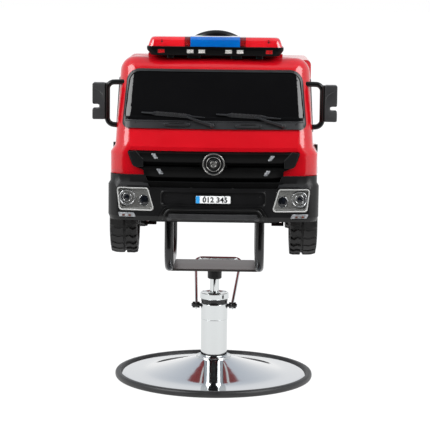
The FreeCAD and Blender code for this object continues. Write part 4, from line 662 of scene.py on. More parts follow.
def makeTrees():
    tree, given, item = newTree("ringOfItems", {"Count": "Int", "Axis": "Vector"})
    points = addNode(tree, "GeometryNodePoints", links={"Count": given["Count"]})
    share = addNode(tree, "ShaderNodeMath", {"operation": "DIVIDE", 0: 2 * math.pi}, {1: given["Count"]})
    angle = addNode(tree, "ShaderNodeMath", {"operation": "MULTIPLY"},
        {0: share, 1: tree.nodes.new("GeometryNodeInputIndex").outputs[0]})
    spin = addNode(tree, "ShaderNodeVectorMath", {"operation": "SCALE"}, {0: given["Axis"], "Scale": angle})
    turn = addNode(tree, "FunctionNodeEulerToRotation", links={0: spin})
    closeTree(tree, given, points.outputs[0], item, turn.outputs[0])
    trees["ring"] = tree

    tree, given, item = newTree("rowOfItems", {"Count": "Int", "Step": "Vector"})
    shift = addNode(tree, "ShaderNodeVectorMath", {"operation": "SCALE"},
        {0: given["Step"], "Scale": tree.nodes.new("GeometryNodeInputIndex").outputs[0]})
    points = addNode(tree, "GeometryNodePoints", links={"Count": given["Count"], "Position": shift})
    closeTree(tree, given, points.outputs[0], item)
    trees["row"] = tree

    tree, given, item = newTree("itemsAtMarks", {})
    facing = addNode(tree, "GeometryNodeInputNamedAttribute",
        {"data_type": "FLOAT_VECTOR", "Name": "facing"})
    turn = addNode(tree, "FunctionNodeAlignRotationToVector", {"axis": "Z"},
        {"Vector": facing.outputs["Attribute"]})
    closeTree(tree, given, given["Geometry"], item, turn.outputs[0])
    trees["marks"] = tree

    tree, given, item = newTree("itemsAlongSeam", {"Pitch": "Float"})
    seam = addNode(tree, "GeometryNodeMeshToCurve", links={"Mesh": given["Geometry"]})
    even = addNode(tree, "GeometryNodeResampleCurve", {"mode": "LENGTH"},
        {"Curve": seam, "Length": given["Pitch"]})
    turn = addNode(tree, "FunctionNodeAlignRotationToVector", {"axis": "X"},
        {"Vector": tree.nodes.new("GeometryNodeInputTangent").outputs[0]})
    closeTree(tree, given, even.outputs[0], item, turn.outputs[0])
    trees["seam"] = tree


trees = {}


def grown(name, kind, finish, item, start=None, **values):
    # One of the trees at work on an item, turned into plain mesh
    tree = trees[kind]
    helper = objectFrom(name + "Item", item, finish)
    piece = bpy.data.objects.new(name, start or bpy.data.meshes.new(name))
    bpy.context.scene.collection.objects.link(piece)
    modifier = piece.modifiers.new(name, "NODES")
    modifier.node_group = tree
    values = {"Item": helper, "Finish": finishes[finish], **values}
    for socket in tree.interface.items_tree:
        if socket.in_out == "INPUT" and socket.name in values:
            modifier[socket.identifier] = values[socket.name]
    settle(piece)
    bpy.data.objects.remove(helper)
    return piece


def meshOf(piece):
    # The mesh alone, to be joined with others
    mesh = bmesh.new()
    mesh.from_mesh(piece.data)
    bpy.data.objects.remove(piece)
    return mesh


def addGrown(name, kind, finish, item, body, slotName, start=None, **values):
    return finishPiece(grown(name, kind, finish, item, start, **values), body, slotName)


def marked(places):
    # A mesh of single points, each with the direction that its item faces
    data = bpy.data.meshes.new("marks")
    data.from_pydata([tuple(place) for place, _ in places], [], [])
    facing = data.attributes.new("facing", "FLOAT_VECTOR", "POINT")
    for index, (_, direction) in enumerate(places):
        facing.data[index].vector = direction
    return data


def path(points):
    data = bpy.data.meshes.new("path")
    edges = [(index, index + 1) for index in range(len(points) - 1)]
    data.from_pydata([tuple(point) for point in points], edges, [])
    return data


def offsets(points, x, z):
    return [(x + a * mm, z + b * mm) for a, b in points]


def screwHead(radius, height):
    # A pan head with a sunk drive
    return lathe([(0, height * 0.45), (radius * 0.34, height * 0.45), (radius * 0.4, height * 0.95),
        (radius * 0.75, height), (radius * 0.95, height * 0.7), (radius, height * 0.2),
        (radius, -height * 0.6), (0, -height * 0.6)], 14)


# Round base

base = {
    # Share of the way in from the edge and share of the rise: a rolled edge, a flat, then the cone
    "riseShares": [(0.0, 0.0), (0.0186, 0.034), (0.0484, 0.072), (0.1155, 0.086),
                   (0.2644, 0.1155), (0.3575, 0.169), (0.4879, 0.314), (0.6741, 0.545),
                   (0.8231, 0.743), (0.9162, 0.874), (1.0, 1.0)],
    "sheet": 2.5 * mm,
    "turns": 192,
    # The collar's section, from the top of the dish's neck: its foot, its bead and its inside
    "collarFoot": [(-14, -1), (1.2, -1)],
    "beadCentre": (-3.4, 3.2),
    "beadHalf": (4.2, 3.6),
    "collarInside": [(-9, 5.4), (-13.5, 7.4), (-15, 7.2)],
}


def makeBase():
    discLow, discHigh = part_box("base_disc")
    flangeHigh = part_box("base_flange")[1]
    discRadius = discHigh.x
    neckRadius = flangeHigh.x
    foot = discLow.z + base["sheet"]
    rise = discHigh.z - foot
    line = [(discRadius - (discRadius - neckRadius) * r, foot + rise * z) for r, z in base["riseShares"]]
    line = smoothCurve(line, 7)
    line += [(neckRadius, discHigh.z), (neckRadius, discHigh.z - base["sheet"])]
    line += [(r, z - base["sheet"]) for r, z in reversed(line[:-2])]
    addPiece("baseDish", lathe(line + line[:1], base["turns"]), "dish", "base", "disc_chrome", "base_disc",
        sharp=50)

    rimLow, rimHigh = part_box("base_rim")
    width = rimHigh.x - discRadius
    middle = (rimHigh.z + rimLow.z) / 2
    half = (rimHigh.z - rimLow.z) / 2
    ring = [(discRadius - width * 0.5, 0.0)]
    for step in range(13):
        angle = math.radians(-90 + 15 * step)
        ring.append((rimHigh.x - half * 0.7 + half * 0.7 * math.cos(angle),
            middle + half * math.sin(angle)))
    ring += [(discRadius + width * 0.18, rimHigh.z + 0.4 * mm), (discRadius, rimHigh.z - 1.2 * mm),
        (discRadius - 1.5 * mm, foot + rise * 0.02), (discRadius - width * 0.5, foot - base["sheet"])]
    addPiece("baseEdge", lathe(ring + ring[:1], base["turns"]), "rubber", "base", "rim_rubber", "base_rim",
        sharp=40)

    (beadX, beadZ), (beadWide, beadHigh) = base["beadCentre"], base["beadHalf"]
    collar = list(base["collarFoot"])
    for step in range(9):
        angle = math.radians(-30 + 15 * step)
        collar.append((beadX + beadWide * math.cos(angle), beadZ + beadHigh * math.sin(angle)))
    collar = offsets(collar + base["collarInside"], neckRadius, discHigh.z)
    addPiece("pumpCollar", lathe(collar + collar[:1], 128), "chrome", "base", "pump_chrome", "base_flange",
        sharp=40)
    frame["nodes"]["base_ballast"].data.materials.clear()
    frame["nodes"]["base_ballast"].data.materials.append(finishes["powder"])
    print("base made")


# Foot pump and its lever

pump = {
    "seamShare": 0.715,
    # Both parts of the sleeve's section, from its seam and from its top
    "sleeveSeam": [(0, -1.6), (-0.1, -0.9), (-0.5, -0.8), (-0.5, 0), (0.5, 0.1), (0.6, 0.4)],
    "sleeveTop": [(0.6, -2.4), (0.1, -0.8), (-0.8, -0.1), (-2.2, -0.1)],
    "sleeveWall": 2.2 * mm,
    "capEdge": 3.2 * mm,
    # The cap's top, from its outside and from the rod
    "capSlope": [(-9, -0.6), (-14, -2.2)],
    "capSeal": [(8, -3.0), (6, -0.8), (1, -0.8), (0.4, -3.0)],
    "capNotch": (7 * mm, 13 * mm),
    "capNotchAngle": 38.0,
    "clampInset": 11.5 * mm,
    "clampSize": (22 * mm, 14 * mm),
    "clampDepth": 9 * mm,
    "clampScrew": [(0, 0), (4.2, 0), (4.2, 6), (3.2, 8.6), (0, 9.4)],
}


def makePump():
    low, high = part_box("pump_shroud")
    radius = high.x - 0.6 * mm
    seam = low.z + (high.z - low.z) * pump["seamShare"]
    line = [(radius - pump["sleeveWall"], low.z), (radius, low.z)]
    line += offsets(pump["sleeveSeam"], radius, seam) + offsets(pump["sleeveTop"], radius, high.z)
    shell = lathe(line + line[:1], 160)
    addPiece("pumpSleeve", shell, "chrome", "base", "pump_chrome", "pump_shroud", sharp=40)
    dress("pump_band", "powder", "pump_black")

    low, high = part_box("pump_cap")
    radius = high.x
    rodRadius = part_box("piston_rod")[1].x
    edge = pump["capEdge"]
    line = [(rodRadius + 0.4 * mm, low.z), (radius - edge * 0.6, low.z)]
    for centreZ, turns in ((low.z + edge * 0.6, range(-90, 1, 15)), (high.z - edge, range(0, 91, 15))):
        size = edge * 0.6 if turns[0] < 0 else edge
        for angle in turns:
            spoke = math.radians(angle)
            line.append((radius - size + size * math.cos(spoke), centreZ + size * math.sin(spoke)))
    line += offsets(pump["capSlope"], radius, high.z) + offsets(pump["capSeal"], rodRadius, high.z)
    addPiece("pumpCap", lathe(line + line[:1], 128), "chrome", "base", "pump_chrome", "pump_cap", sharp=40)
    angle = math.radians(-90 + pump["capNotchAngle"])
    outward = Vector((math.cos(angle), math.sin(angle), 0))
    place = outward * (radius - 0.5 * mm) + up * (low.z + high.z) / 2
    notch = onFace(roundBox(*pump["capNotch"], 1.5 * mm), -0.8 * mm, 0.8 * mm, place, outward)
    addPiece("pumpCapPlug", notch, "powder", "base", "pump_black")
    dress("piston_rod", "chrome", "pump_chrome")
    dress("taper_sleeve", "satin", "pump_black")
    dress("pump_reservoir", "steel", "machined_steel")

    dress("foot_lever", "chrome", "pump_chrome", 50)
    dress("lever_clamps", "powder", "clamp_black")
    dress("lever_bolts", "zinc", "zinc_fastener")
    # Cast blocks round the clamps, each with a screw from below
    low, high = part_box("lever_clamps")
    x, z = high.x - pump["clampInset"], (low.z + high.z) / 2
    outline = softCorners([(x + a, z + b) for a, b in box2(*pump["clampSize"])], 2.5 * mm, 3)
    blocks = bothSides(panel(outline, -pump["clampDepth"], pump["clampDepth"], 1.5 * mm))
    addPiece("clampBlocks", blocks, "powder", "lever", "clamp_black", sharp=35)
    screw = bothSides(lathe(metres(pump["clampScrew"]), 20, (x, 0, z - 6 * mm), (0, 0, -1)))
    addPiece("clampScrews", screw, "chrome", "lever", "zinc_fastener", sharp=35)
    print("pump made")


# Under-frame, running gear and truck body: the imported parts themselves

packedParts = [
    # Finish, slot, the angle from which an edge is sharp, the nodes
    ("powder", "frame_black", 40, "frame_loop_right", "frame_loop_left", "frame_crossbars"),
    # The seat plate's grey finish is painted sheen on its black coat
    ("plate", "plate_steel", 32, "seat_plate"),
    ("grained", "frame_black", 40, "front_axle", "tie_rod"),
    ("grained", "machined_steel", 40, "knuckle_right", "knuckle_left", "rear_axle"),
    ("zinc", "zinc_fastener", 32, "frame_bolts", "base_bolts"),
    ("red", "red_plastic", 24, "cab_shell", "rear_body", "door_right", "door_left"),
    # The chassis pan's darker red is painted shade
    ("redInner", "red_plastic", 30, "chassis_pan"),
    ("satin", "black_plastic", 32, "hinge_pins"),
    ("redLens", "red_lens", 32, "tail_lamps"),
    ("surround", "trim_grey", 40, "windscreen_frame"),
    ("acrylic", "gloss_black", 40, "windscreen_panel", "side_windows"),
    ("slatBlack", "black_plastic", 30, "grille"),
    ("grained", "black_plastic", 30, "bumper"),
    ("satin", "black_plastic", 30, "bumper_guard"),
    ("satin", "black_plastic", 40, "mirror_right", "mirror_left"),
    ("grained", "black_plastic", 30, "dashboard"),
    ("satin", "gloss_black", 40, "steering_wheel"),
    ("steel", "machined_steel", 40, "steering_column"),
    ("red", "red_plastic", 40, "horn_button"),
    ("grained", "black_plastic", 30, "seat_shell"),
    ("satin", "black_plastic", 30, "pedal"),
    ("clear", "clear_lens", 30, "lamp_lenses"),
]


def makeBody():
    for finish, slotName, sharpDegrees, *nodeNames in packedParts:
        for nodeName in nodeNames:
            dress(nodeName, finish, slotName, sharpDegrees)
    print("frame and body made")


# Light bar on the roof: base, feet, lamp windows, two red lenses and the blue beacon

lightBar = {
    "middleY": -450 * mm,
    "corner": 20 * mm,
    # Height, half length and half depth of each level
    "base": [(1162, 205.5, 51.5), (1163, 207.5, 53), (1171, 213, 55.5), (1178, 218.4, 58),
             (1181, 219.6, 58.8), (1188.6, 220, 59), (1190, 218.8, 58)],
    "lens": [(1190, 215, 56), (1190.8, 216, 57), (1199, 213.6, 55.6), (1207, 211, 53.4),
             (1213, 208.6, 51.2), (1217, 206, 48.6), (1219.8, 202.5, 45), (1221, 197, 40),
             (1221.4, 190, 33)],
    "beaconHalf": 78 * mm,
    "shadeHalf": 98 * mm,
    "beaconProud": 3 * mm,
    # How far the blue beacon's upper part rises over the red ones, and its ends over theirs
    "beaconRise": 1.1,
    "beaconLap": 1.5 * mm,
    "feet": [(-155, -133), (-90, -48), (50, 86), (131, 154)],
    "footHalf": 37,
    "clearWindows": [-80, -43, 43, 80],
    "redWindows": [-173, 173],
    "windowSize": (21 * mm, 12.5 * mm),
    "windowZ": 1176 * mm,
    "bulbs": [-171, 171],
    "windowProud": 2.4 * mm,
    "windowRim": 3 * mm,
    "rib": (1.1 * mm, 17 * mm),
    "ribLean": -15,
    "ribCount": 5,
    "ribStep": 3.6 * mm,
    # Distance from the beacon's end, distance ahead of the bar's middle, and height
    "firstRib": (18 * mm, 55.4 * mm, 1202 * mm),
    "gasket": (1190, 218.4, 57.6),
    "gasketRadius": 1.0 * mm,
    # Height, radius and distance from the bar's middle of the bulbs behind the lens
    "bulbLevels": [(1206, 3.2, 54.3), (1212, 1.8, 52.6)],
}


def levels(plan, proud=0.0):
    rings = []
    for z, halfLength, halfDepth in plan:
        outline = roundBox(halfLength * 2 * mm, (halfDepth * mm + proud) * 2, lightBar["corner"], 7)
        rings.append([(x, y + lightBar["middleY"], z * mm) for x, y in outline])
    return rings


def makeLightBar():
    bar = objectFrom("lightBarBase", stacked(levels(lightBar["base"])), "slatBlack", 40)
    settle(modified(bar, "WEIGHTED_NORMAL", keep_sharp=True, weight=60))
    finishPiece(bar, "car", "black_plastic", "lightbar_base")
    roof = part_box("lightbar_base")[0].z
    under = lightBar["base"][0][0] * mm
    feet = []
    half = lightBar["footHalf"]
    for low, high in lightBar["feet"]:
        outline = softCorners(metres([(low, -half), (high, -half), (high, half), (low, half)]), 4 * mm, 4)
        rings = []
        middle = (low + high) / 2 * mm
        for z, spread in ((roof - 3 * mm, 1.0), (roof + 1.2 * mm, 1.0), (under + 1 * mm, 0.96)):
            rings.append([(middle + (x - middle) * spread, lightBar["middleY"] + y, z) for x, y in outline])
        feet.append(stacked(rings))
    addPiece("lightBarFeet", together(*feet), "grained", "car", "black_plastic")

    shape = lightBar["lens"]
    blueEnd, shadeEnd = lightBar["beaconHalf"], lightBar["shadeHalf"]
    # Further out than the bar reaches
    beyond = 0.3
    red, shade = (together(stretch(stacked(levels(shape)), near, far),
        stretch(stacked(levels(shape)), -far, -near)) for near, far in ((shadeEnd, beyond),
        (blueEnd, shadeEnd)))
    blueShape = [(z + (lightBar["beaconRise"] if z > 1200 else 0), length, depth)
        for z, length, depth in shape]
    lapEnd = blueEnd + lightBar["beaconLap"]
    blue = stretch(stacked(levels(blueShape, lightBar["beaconProud"])), -lapEnd, lapEnd)
    addPiece("redBeacons", red, "redLens", "car", "red_lens", "red_lenses", sharp=35)
    addPiece("beaconShades", shade, "shadeLens", "car", "red_lens", sharp=35)
    addPiece("blueBeacon", blue, "blueLens", "car", "blue_lens", "blue_lens", sharp=35)

    # Ribs moulded into the lenses' insides, which show through them as fine upright lines
    rib = moved(prism(roundBox(*lightBar["rib"], 0.5 * mm, 2), -0.5 * mm, 0.5 * mm),
        Matrix.Rotation(math.radians(lightBar["ribLean"]), 4, "X"))
    away, ahead, z = lightBar["firstRib"]
    ribPlace = Matrix.Translation((-blueEnd - away, lightBar["middleY"] - ahead, z))
    for name, sign in (("shadeRibsLeft", 1), ("shadeRibsRight", -1)):
        mesh = moved(rib.copy(), ribPlace)
        if sign < 0:
            mesh = flipped(mesh)
        step = sign * lightBar["ribStep"]
        addGrown(name, "row", "redWindow", mesh, "car", "red_lens", Count=lightBar["ribCount"],
            Step=(step, 0, 0))
    rib.free()

    panes, rims, bulbs = [], [], []
    for x in lightBar["clearWindows"] + lightBar["redWindows"]:
        place, normal = frontPoint(x * mm, lightBar["windowZ"], "lightbar_base")
        width, height = lightBar["windowSize"]
        place = place + normal * lightBar["windowProud"]
        rim = lightBar["windowRim"]
        rims.append(onFace(roundBox(width + rim, height + rim, 1.8 * mm, 3), -0.5 * mm, 3 * mm, place,
            normal, 0.5 * mm))
        for row in (-1, 1):
            pane = onFace(roundBox(width, height / 2 - 0.6 * mm, 0.9 * mm, 3), -1.3 * mm, 1 * mm,
                place + up * row * height / 4, normal, 0.5 * mm)
            panes.append((x, pane))
    clearPanes = together(*[pane for x, pane in panes if x in lightBar["clearWindows"]])
    redPanes = together(*[pane for x, pane in panes if x in lightBar["redWindows"]])
    addPiece("windowRims", together(*rims), "satin", "car", "black_plastic")
    addPiece("clearWindows", clearPanes, "window", "car", "clear_lens")
    addPiece("redWindows", redPanes, "redWindow", "car", "red_lens")
    for x in lightBar["bulbs"]:
        for z, size, away in lightBar["bulbLevels"]:
            side = lightBar["middleY"] - away * mm
            bulbs.append(lathe(metres([(0, -3), (size, -3), (size, 0.2), (size * 0.8, 0.9), (0, 1.1)]), 16,
                (x * mm, side, z * mm), (0, -1, 0.25)))
    addPiece("lensBulbs", together(*bulbs), "shadeLens", "car", "red_lens")
    seam = [(x, y, z - 0.2 * mm) for x, y, z in levels([lightBar["gasket"]])[0]]
    addPiece("lensGasket", tubeAlong(seam, lightBar["gasketRadius"], 6, True), "blackInk", "car",
        "black_plastic", sharp=60)
    print("light bar made")


# Windscreen: wipers, their covers, the cowl's screws and the foot of the glass

wipers = {
    # Both blades' ends and both arms' ends, as X and Z seen from the front
    "blades": [((-233, 978), (-30, 964.5)), ((6, 975.5), (212, 963))],
    "arms": [((-100, 969), (-6, 940)), ((128, 967), (222, 940))],
    "covers": [(-119, 943), (110, 940)],
    "coverSize": (83, 13),
    # How much the covers narrow at their lower and their upper edge
    "coverCuts": (9 * mm, 14 * mm),
    "coverScrewInset": 6 * mm,
    "stand": 9 * mm,
    # The rubber lip: its distance behind the blade, half height and half depth
    "lipBack": 4.2 * mm,
    "lipHalf": (0.9 * mm, 3.2 * mm),
    "cowlScrews": [-252, 3, 262],
    "rib": (2.2 * mm, 14 * mm),
    "ribs": 24,
    "ribSpan": (0.235, 0.705),
    "ribStand": 11 * mm,
    # Heights of the lap of glass and of the pressed line below it, and half of their length
    "lapZ": 961 * mm,
    "ledgeZ": 953 * mm,
    "lapHalf": 285,
    "lapSection": (6.5 * mm, 1 * mm),
    "ledgeRadius": 1.3 * mm,
    "hub": [(0, -2), (7, -2), (7, 5), (6, 7), (5.6, 13), (4.6, 14), (0, 14.3)],
    "screw": (2.6 * mm, 1.6 * mm),
    "screwZ": 947 * mm,
}


def makeWipers():
    glass = ["windscreen_panel", "windscreen_frame", "cab_shell"]

    def stood(ends, share, away):
        # The place at this share of the way between two ends, stood off the glass
        (startX, startZ), (endX, endZ) = ends
        x, z = startX + (endX - startX) * share, startZ + (endZ - startZ) * share
        place, normal = frontPoint(x * mm, z * mm, *glass)
        return place + normal * away

    for name, blade, arm in zip(("left", "right"), wipers["blades"], wipers["arms"]):
        line, heights, depths = [], [], []
        for step in range(25):
            t = step / 24
            middle = 1 - abs(t * 2 - 0.94)
            line.append(stood(blade, t, wipers["stand"] * 0.75))
            heights.append((2.0 + (3.8 if middle > 0.42 else 1.4 * middle / 0.42)) * mm)
            depths.append((2.2 + 1.4 * min(middle / 0.4, 1)) * mm)
        pieces = [barAlong(line, heights, depths)]
        lip = [point + Vector((0, wipers["lipBack"], 0)) for point in line]
        pieces.append(barAlong(lip, *wipers["lipHalf"]))
        line, heights, depths = [], [], []
        for step in range(13):
            t = step / 12
            line.append(stood(arm, t, wipers["stand"] * (1.25 - 0.35 * t)))
            heights.append((2.4 + 2.6 * t - (1.2 if step == 12 else 0)) * mm)
            depths.append((2.6 + 0.8 * t) * mm)
        pieces.append(barAlong(line, heights, depths))
        hub, normal = frontPoint(arm[1][0] * mm, arm[1][1] * mm, *glass)
        pieces.append(lathe(metres(wipers["hub"]), 28, hub, normal))
        addPiece("wiper_" + name + "_shown", together(*pieces), "surround", "car", "black_plastic",
            "wiper_" + name, sharp=35)

        first, last = (stood(blade, share, wipers["ribStand"]) for share in wipers["ribSpan"])
        count = wipers["ribs"]
        rib = onFace(roundBox(*wipers["rib"], 0.8 * mm, 2), -2.2 * mm, 5 * mm, first, forward)
        addGrown("wiperRibs_" + name, "row", "shellGrey", rib, "car", "black_plastic", Count=count,
            Step=tuple((last - first) / (count - 1)))

    covers, vents, screws = [], [], []
    width, height = (size * mm for size in wipers["coverSize"])
    for x, z in wipers["covers"]:
        place, normal = frontPoint(x * mm, z * mm, *glass)
        below, above = (width / 2 - cut for cut in wipers["coverCuts"])
        rightHalf = [(below, -height / 2), (width / 2, -height * 0.2), (width / 2, height * 0.3),
            (above, height / 2)]
        outline = softCorners([(-a, b) for a, b in rightHalf[1::-1]] + rightHalf
            + [(-a, b) for a, b in rightHalf[:1:-1]], 2 * mm, 3)
        covers.append(onFace(outline, -6 * mm, 4 * mm, place, normal, 2 * mm))
        # Each cover's vent is a black patch: painted shade for the opening
        vents.append(onFace(roundBox(width * 0.62, height * 0.3, 1.5 * mm, 3), -6.6 * mm, 2 * mm,
            place + up * height * 0.3, normal, 0.5 * mm))
        for side in (-1, 1):
            away = side * (width / 2 - wipers["coverScrewInset"])
            screws.append((place + Vector((away, 0, 0)) + normal * 6 * mm, normal))
    addPiece("wiperCovers", together(*covers), "surround", "car", "trim_grey")
    addPiece("wiperVents", together(*vents), "blackInk", "car", "black_plastic")
    for x in wipers["cowlScrews"]:
        place, normal = frontPoint(x * mm, wipers["screwZ"], *glass)
        screws.append((place, normal))
    addGrown("cowlScrews", "marks", "blackInk", screwHead(*wipers["screw"]), "car", "zinc_fastener",
        marked(screws))

    # The glass laps over the cowl's upper edge, with a pressed line below it
    ledge, lap = [], []
    half = wipers["lapHalf"]
    for step in range(49):
        x = (-half + 2 * half * step / 48) * mm
        for line, z, away in ((lap, wipers["lapZ"], 0.4), (ledge, wipers["ledgeZ"], 0.5)):
            place, normal = frontPoint(x, z, "windscreen_frame", "cab_shell")
            line.append(place + normal * away * mm)
    lap = objectFrom("glassFoot", barAlong(lap, *wipers["lapSection"]), "acrylic", 30)
    bowShade(lap)
    finishPiece(lap, "car", "gloss_black")
    addPiece("cowlBead", tubeAlong(ledge, wipers["ledgeRadius"], 8), "surround", "car", "trim_grey",
        sharp=60)
    print("wipers made")


# Door mirrors: two-lobed cases with the film on the driver's side

mirrors = {
    "outline": [(355, 1069.7), (395.4, 1069.7), (395.4, 1006), (371, 998.5), (371, 989.5),
                (395.4, 984.5), (395.4, 951.6), (354.6, 952)],
    "step": [(358, 1024), (363, 1034), (374, 1043), (387, 1051)],
    "near": -488 * mm,
    "far": -444 * mm,
    "lobeZ": 1.0,
    "filmLowZ": 1006 * mm,
}


def makeMirrors():
    outline = softCorners(metres(mirrors["outline"]), 5.4 * mm, 5)
    case = panel(outline, mirrors["near"], mirrors["far"], 3 * mm)
    fold = [(x * mm, mirrors["near"] + 0.2 * mm, z * mm) for x, z in mirrors["step"]]
    bead = tubeAlong(smoothCurve(fold, 8), lambda t: (0.5 + 1.1 * math.sin(math.pi * t)) * mm, 8)
    addPiece("mirrorCases", bothSides(together(case, bead)), "shellGrey", "car", "black_plastic", sharp=40)
    # The film lies in the upper lobe only
    film = [(x, max(z, mirrors["filmLowZ"])) for x, z in inner(outline, 5 * mm) if z > mirrors["lobeZ"]]
    glass = prism(film, mirrors["far"] - 1 * mm, mirrors["far"] + 0.8 * mm)
    addPiece("mirrorFilms", bothSides(glass), "mirror", "car", "clear_lens", sharp=30)
    print("mirrors made")


# Grille: wing panels, pale patches painted in as glints on the slats, and the badge

grille = {
    "wing": [(-274, 855), (-251, 859), (-226, 832), (-226, 806), (-249, 805), (-259, 810),
             (-272, 849)],
    # Place of each painted glint's middle and its lean
    "paintedGlints": [(-189, 842, -1), (-172, 793, -1), (184, 839, 1), (171, 791, 1)],
    "glintSize": (13, 17),
    "badgeRings": [(33.6, 1.8), (22.6, 1.4)],
    "badgeRadius": 36.4,
    "badgeDepth": 2.2 * mm,
    "boss": [(11.5, -1), (11.5, 1.2), (10.6, 2.0), (8, 2.2), (7.2, 1.2), (3.4, 1.0),
             (2.4, 2.0), (0, 2.2)],
    "wingMiddle": (-250 * mm, 0, 832 * mm),
}


def makeGrille():
    outline = softCorners(metres(grille["wing"]), 2 * mm, 4)
    middle = Vector(grille["wingMiddle"])
    place, normal = frontPoint(middle.x, middle.z, "grille", "cab_shell")
    local = [(x - middle.x, z - middle.z) for x, z in outline]
    wing = onFace(local, -3.0 * mm, 5 * mm, place, (normal + forward * 2).normalized(), 1.5 * mm)
    addPiece("grilleWings", bothSides(wing), "grained", "car", "black_plastic")
    # Pale patches on the slats: painted glints where the slats' facets catch the light
    paintedGlints = []
    width, height = (size * mm for size in grille["glintSize"])
    for x, z, lean in grille["paintedGlints"]:
        place, normal = frontPoint(x * mm, z * mm, "grille")
        slide = lean * height * 0.32
        outline = softCorners([(-width / 2 - slide, -height / 2), (width / 2 - slide, -height / 2),
            (width / 2 + slide, height / 2), (-width / 2 + slide, height / 2)], 1.6 * mm, 3)
        paintedGlints.append(onFace(outline, -1.6 * mm, 3 * mm, place, normal, 1.2 * mm))
    addPiece("grilleInserts", together(*paintedGlints), "insert", "car", "clear_lens")

    low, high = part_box("emblem_rings")
    centre = Vector((0, (low.y + high.y) / 2, (low.z + high.z) / 2))
    face = low.y + grille["badgeDepth"]
    radius = grille["badgeRadius"] * mm
    depth = high.y - face
    backing = lathe([(0, -depth), (radius - 1 * mm, -depth), (radius, -1 * mm), (radius - 1 * mm, 0),
        (radius * 0.86, 0.2 * mm), (radius * 0.8, -1.1 * mm), (radius * 0.45, -1.1 * mm),
        (radius * 0.4, 0.2 * mm), (0, 1.0 * mm)], 72, (0, face, centre.z), forward)
    addPiece("badgeBacking", backing, "satin", "car", "black_plastic", "emblem_rings", sharp=35)
    rings = []
    for ringRadius, tube in grille["badgeRings"]:
        rings.append(lathe(ringSection(ringRadius, tube, squash=0.8), 72, (0, face - 0.3 * mm, centre.z),
            forward))
    rings.append(lathe(metres(grille["boss"]), 48, (0, face, centre.z), forward))
    addPiece("badgeRings", together(*rings), "nickel", "car", "badge_silver", sharp=50)
    print("grille made")


# Bumper: screws, skid lugs, strips, guard rail, lamps and the number plate

bumper = {
    "screws": [(-187, 744), (-124, 743), (-70, 742), (62, 742), (117, 743), (187, 744)],
    "cornerMarks": [(-151, 716), (151, 716)],
    "screw": (3.2 * mm, 1.8 * mm),
    "lugSpan": 140,
    "lugCount": 9,
    "lugBack": 11 * mm,
    "lugZ": 643 * mm,
    "lugNormal": (0, -0.72, -0.7),
    "lampX": 277, "lampZ": 707, "dipX": 221, "dipZ": 699,
    "lampOutline": [(312, 742), (303, 666), (187, 666), (209, 742)],
    "fogOutline": [(307, 660), (254, 660), (247, 645), (301, 645)],
    "fogBits": [268, 288],
    "plateZ": 706, "plateWidth": 117, "plateHeight": 30,
    "plateClear": 3.2, "plateStrip": 12, "plateBolts": (-27, 36),
    "plateDigits": "012 345",
    "digitHeight": 16.0,
    "fogBitZ": 651 * mm,
    "fogBitSize": (8 * mm, 6 * mm),
    "lug": [(0, -6), (9, -6), (9, 1.5), (7.6, 3), (0, 3.4)],
    # The scuffed grey strip under the guard, and the dark sill behind the bumper's upper lip, which
    # closes the gap under the grille: half length, steps, height of the front that it follows, its
    # own height, distance behind the front, and half its height and depth
    "strips": [("skidStrip", "shellGrey", 142, 24, 652, 651, 1.2, 8.5, 3),
               ("grilleSill", "slatBlack", 224, 32, 732, 749, 12, 13, 4)],
    # Rounded upper edge of the guard, which runs down at both ends
    "rail": [(-162, 641), (-156, 655), (-148, 667), (-137, 673), (-118, 674)],
    "railTop": [(-60, 674), (0, 674), (60, 674)],
    "railRadius": 3.4 * mm,
    # Raised bead round the recess of the plate: its outline, and an inset and a depth for each level
    "recess": [(-165, 687), (165, 687), (165, 730), (-165, 730)],
    "recessBead": [(-4.4, 0.8), (-3.6, -0.8), (-2.2, -1.3), (-1, -0.8), (-0.6, 0.8)],
    "bezel": [(0.4, 0.6), (1.2, -0.9), (3.4, -1.0), (4.9, 0.6), (5.1, 8), (0.4, 8)],
    "bowl": [(4.6, 20), (4.6, 5), (7.5, 8), (10.5, 10.5)],
    "fog": [(0.2, 9), (0.2, 0), (0.9, -1.4), (1.9, -1.9)],
    "pod": [(0, -14), (25, -14), (25, -0.5), (22.6, -1), (20, -4.5), (16, -5), (14.4, -1.6),
            (12.4, -1.6), (11.6, -5), (0, -6)],
    "bulb": [(0, -7), (11, -7), (10.6, -4), (7.5, -1.4), (3.6, -0.2), (0, 0.2)],
    "dipLens": [(0, -14), (17, -14), (17, -3), (15.4, -1.2), (10, 1.0), (5, 2.0), (0, 2.3)],
    "lampBack": 8 * mm,
    # Radius of each ring, radius of its tube, and how far forward it stands
    "lampRings": [(24.2, 2.1, 0), (13.4, 1.6, -1)],
    "dipRing": (17.6, 1.0, -2.4),
    "flute": (1.0 * mm, 6 * mm),
    "fluteRadius": 18 * mm,
    "fluteBack": 5 * mm,
    "flutes": 28,
}


lampLooks = {
    # The bezels' light grey is painted reflection of bright chrome
    "lampBezels": ("bezelPaint", "lamp_bowl", 40),
    "lampBowls": ("bowl", "lamp_bowl", 50, "lamp_housings"),
    "lampRings": ("lampRing", "lamp_bowl", 60),
    "lampPods": ("lampRing", "lamp_bowl", 50),
    "lampBulbs": ("darkLens", "clear_lens", 60),
    "dipLenses": ("darkLens", "gloss_black", 50),
    "fogLamps": ("insert", "clear_lens", 40),
    "fogBulbs": ("amber", "red_lens", 50),
}


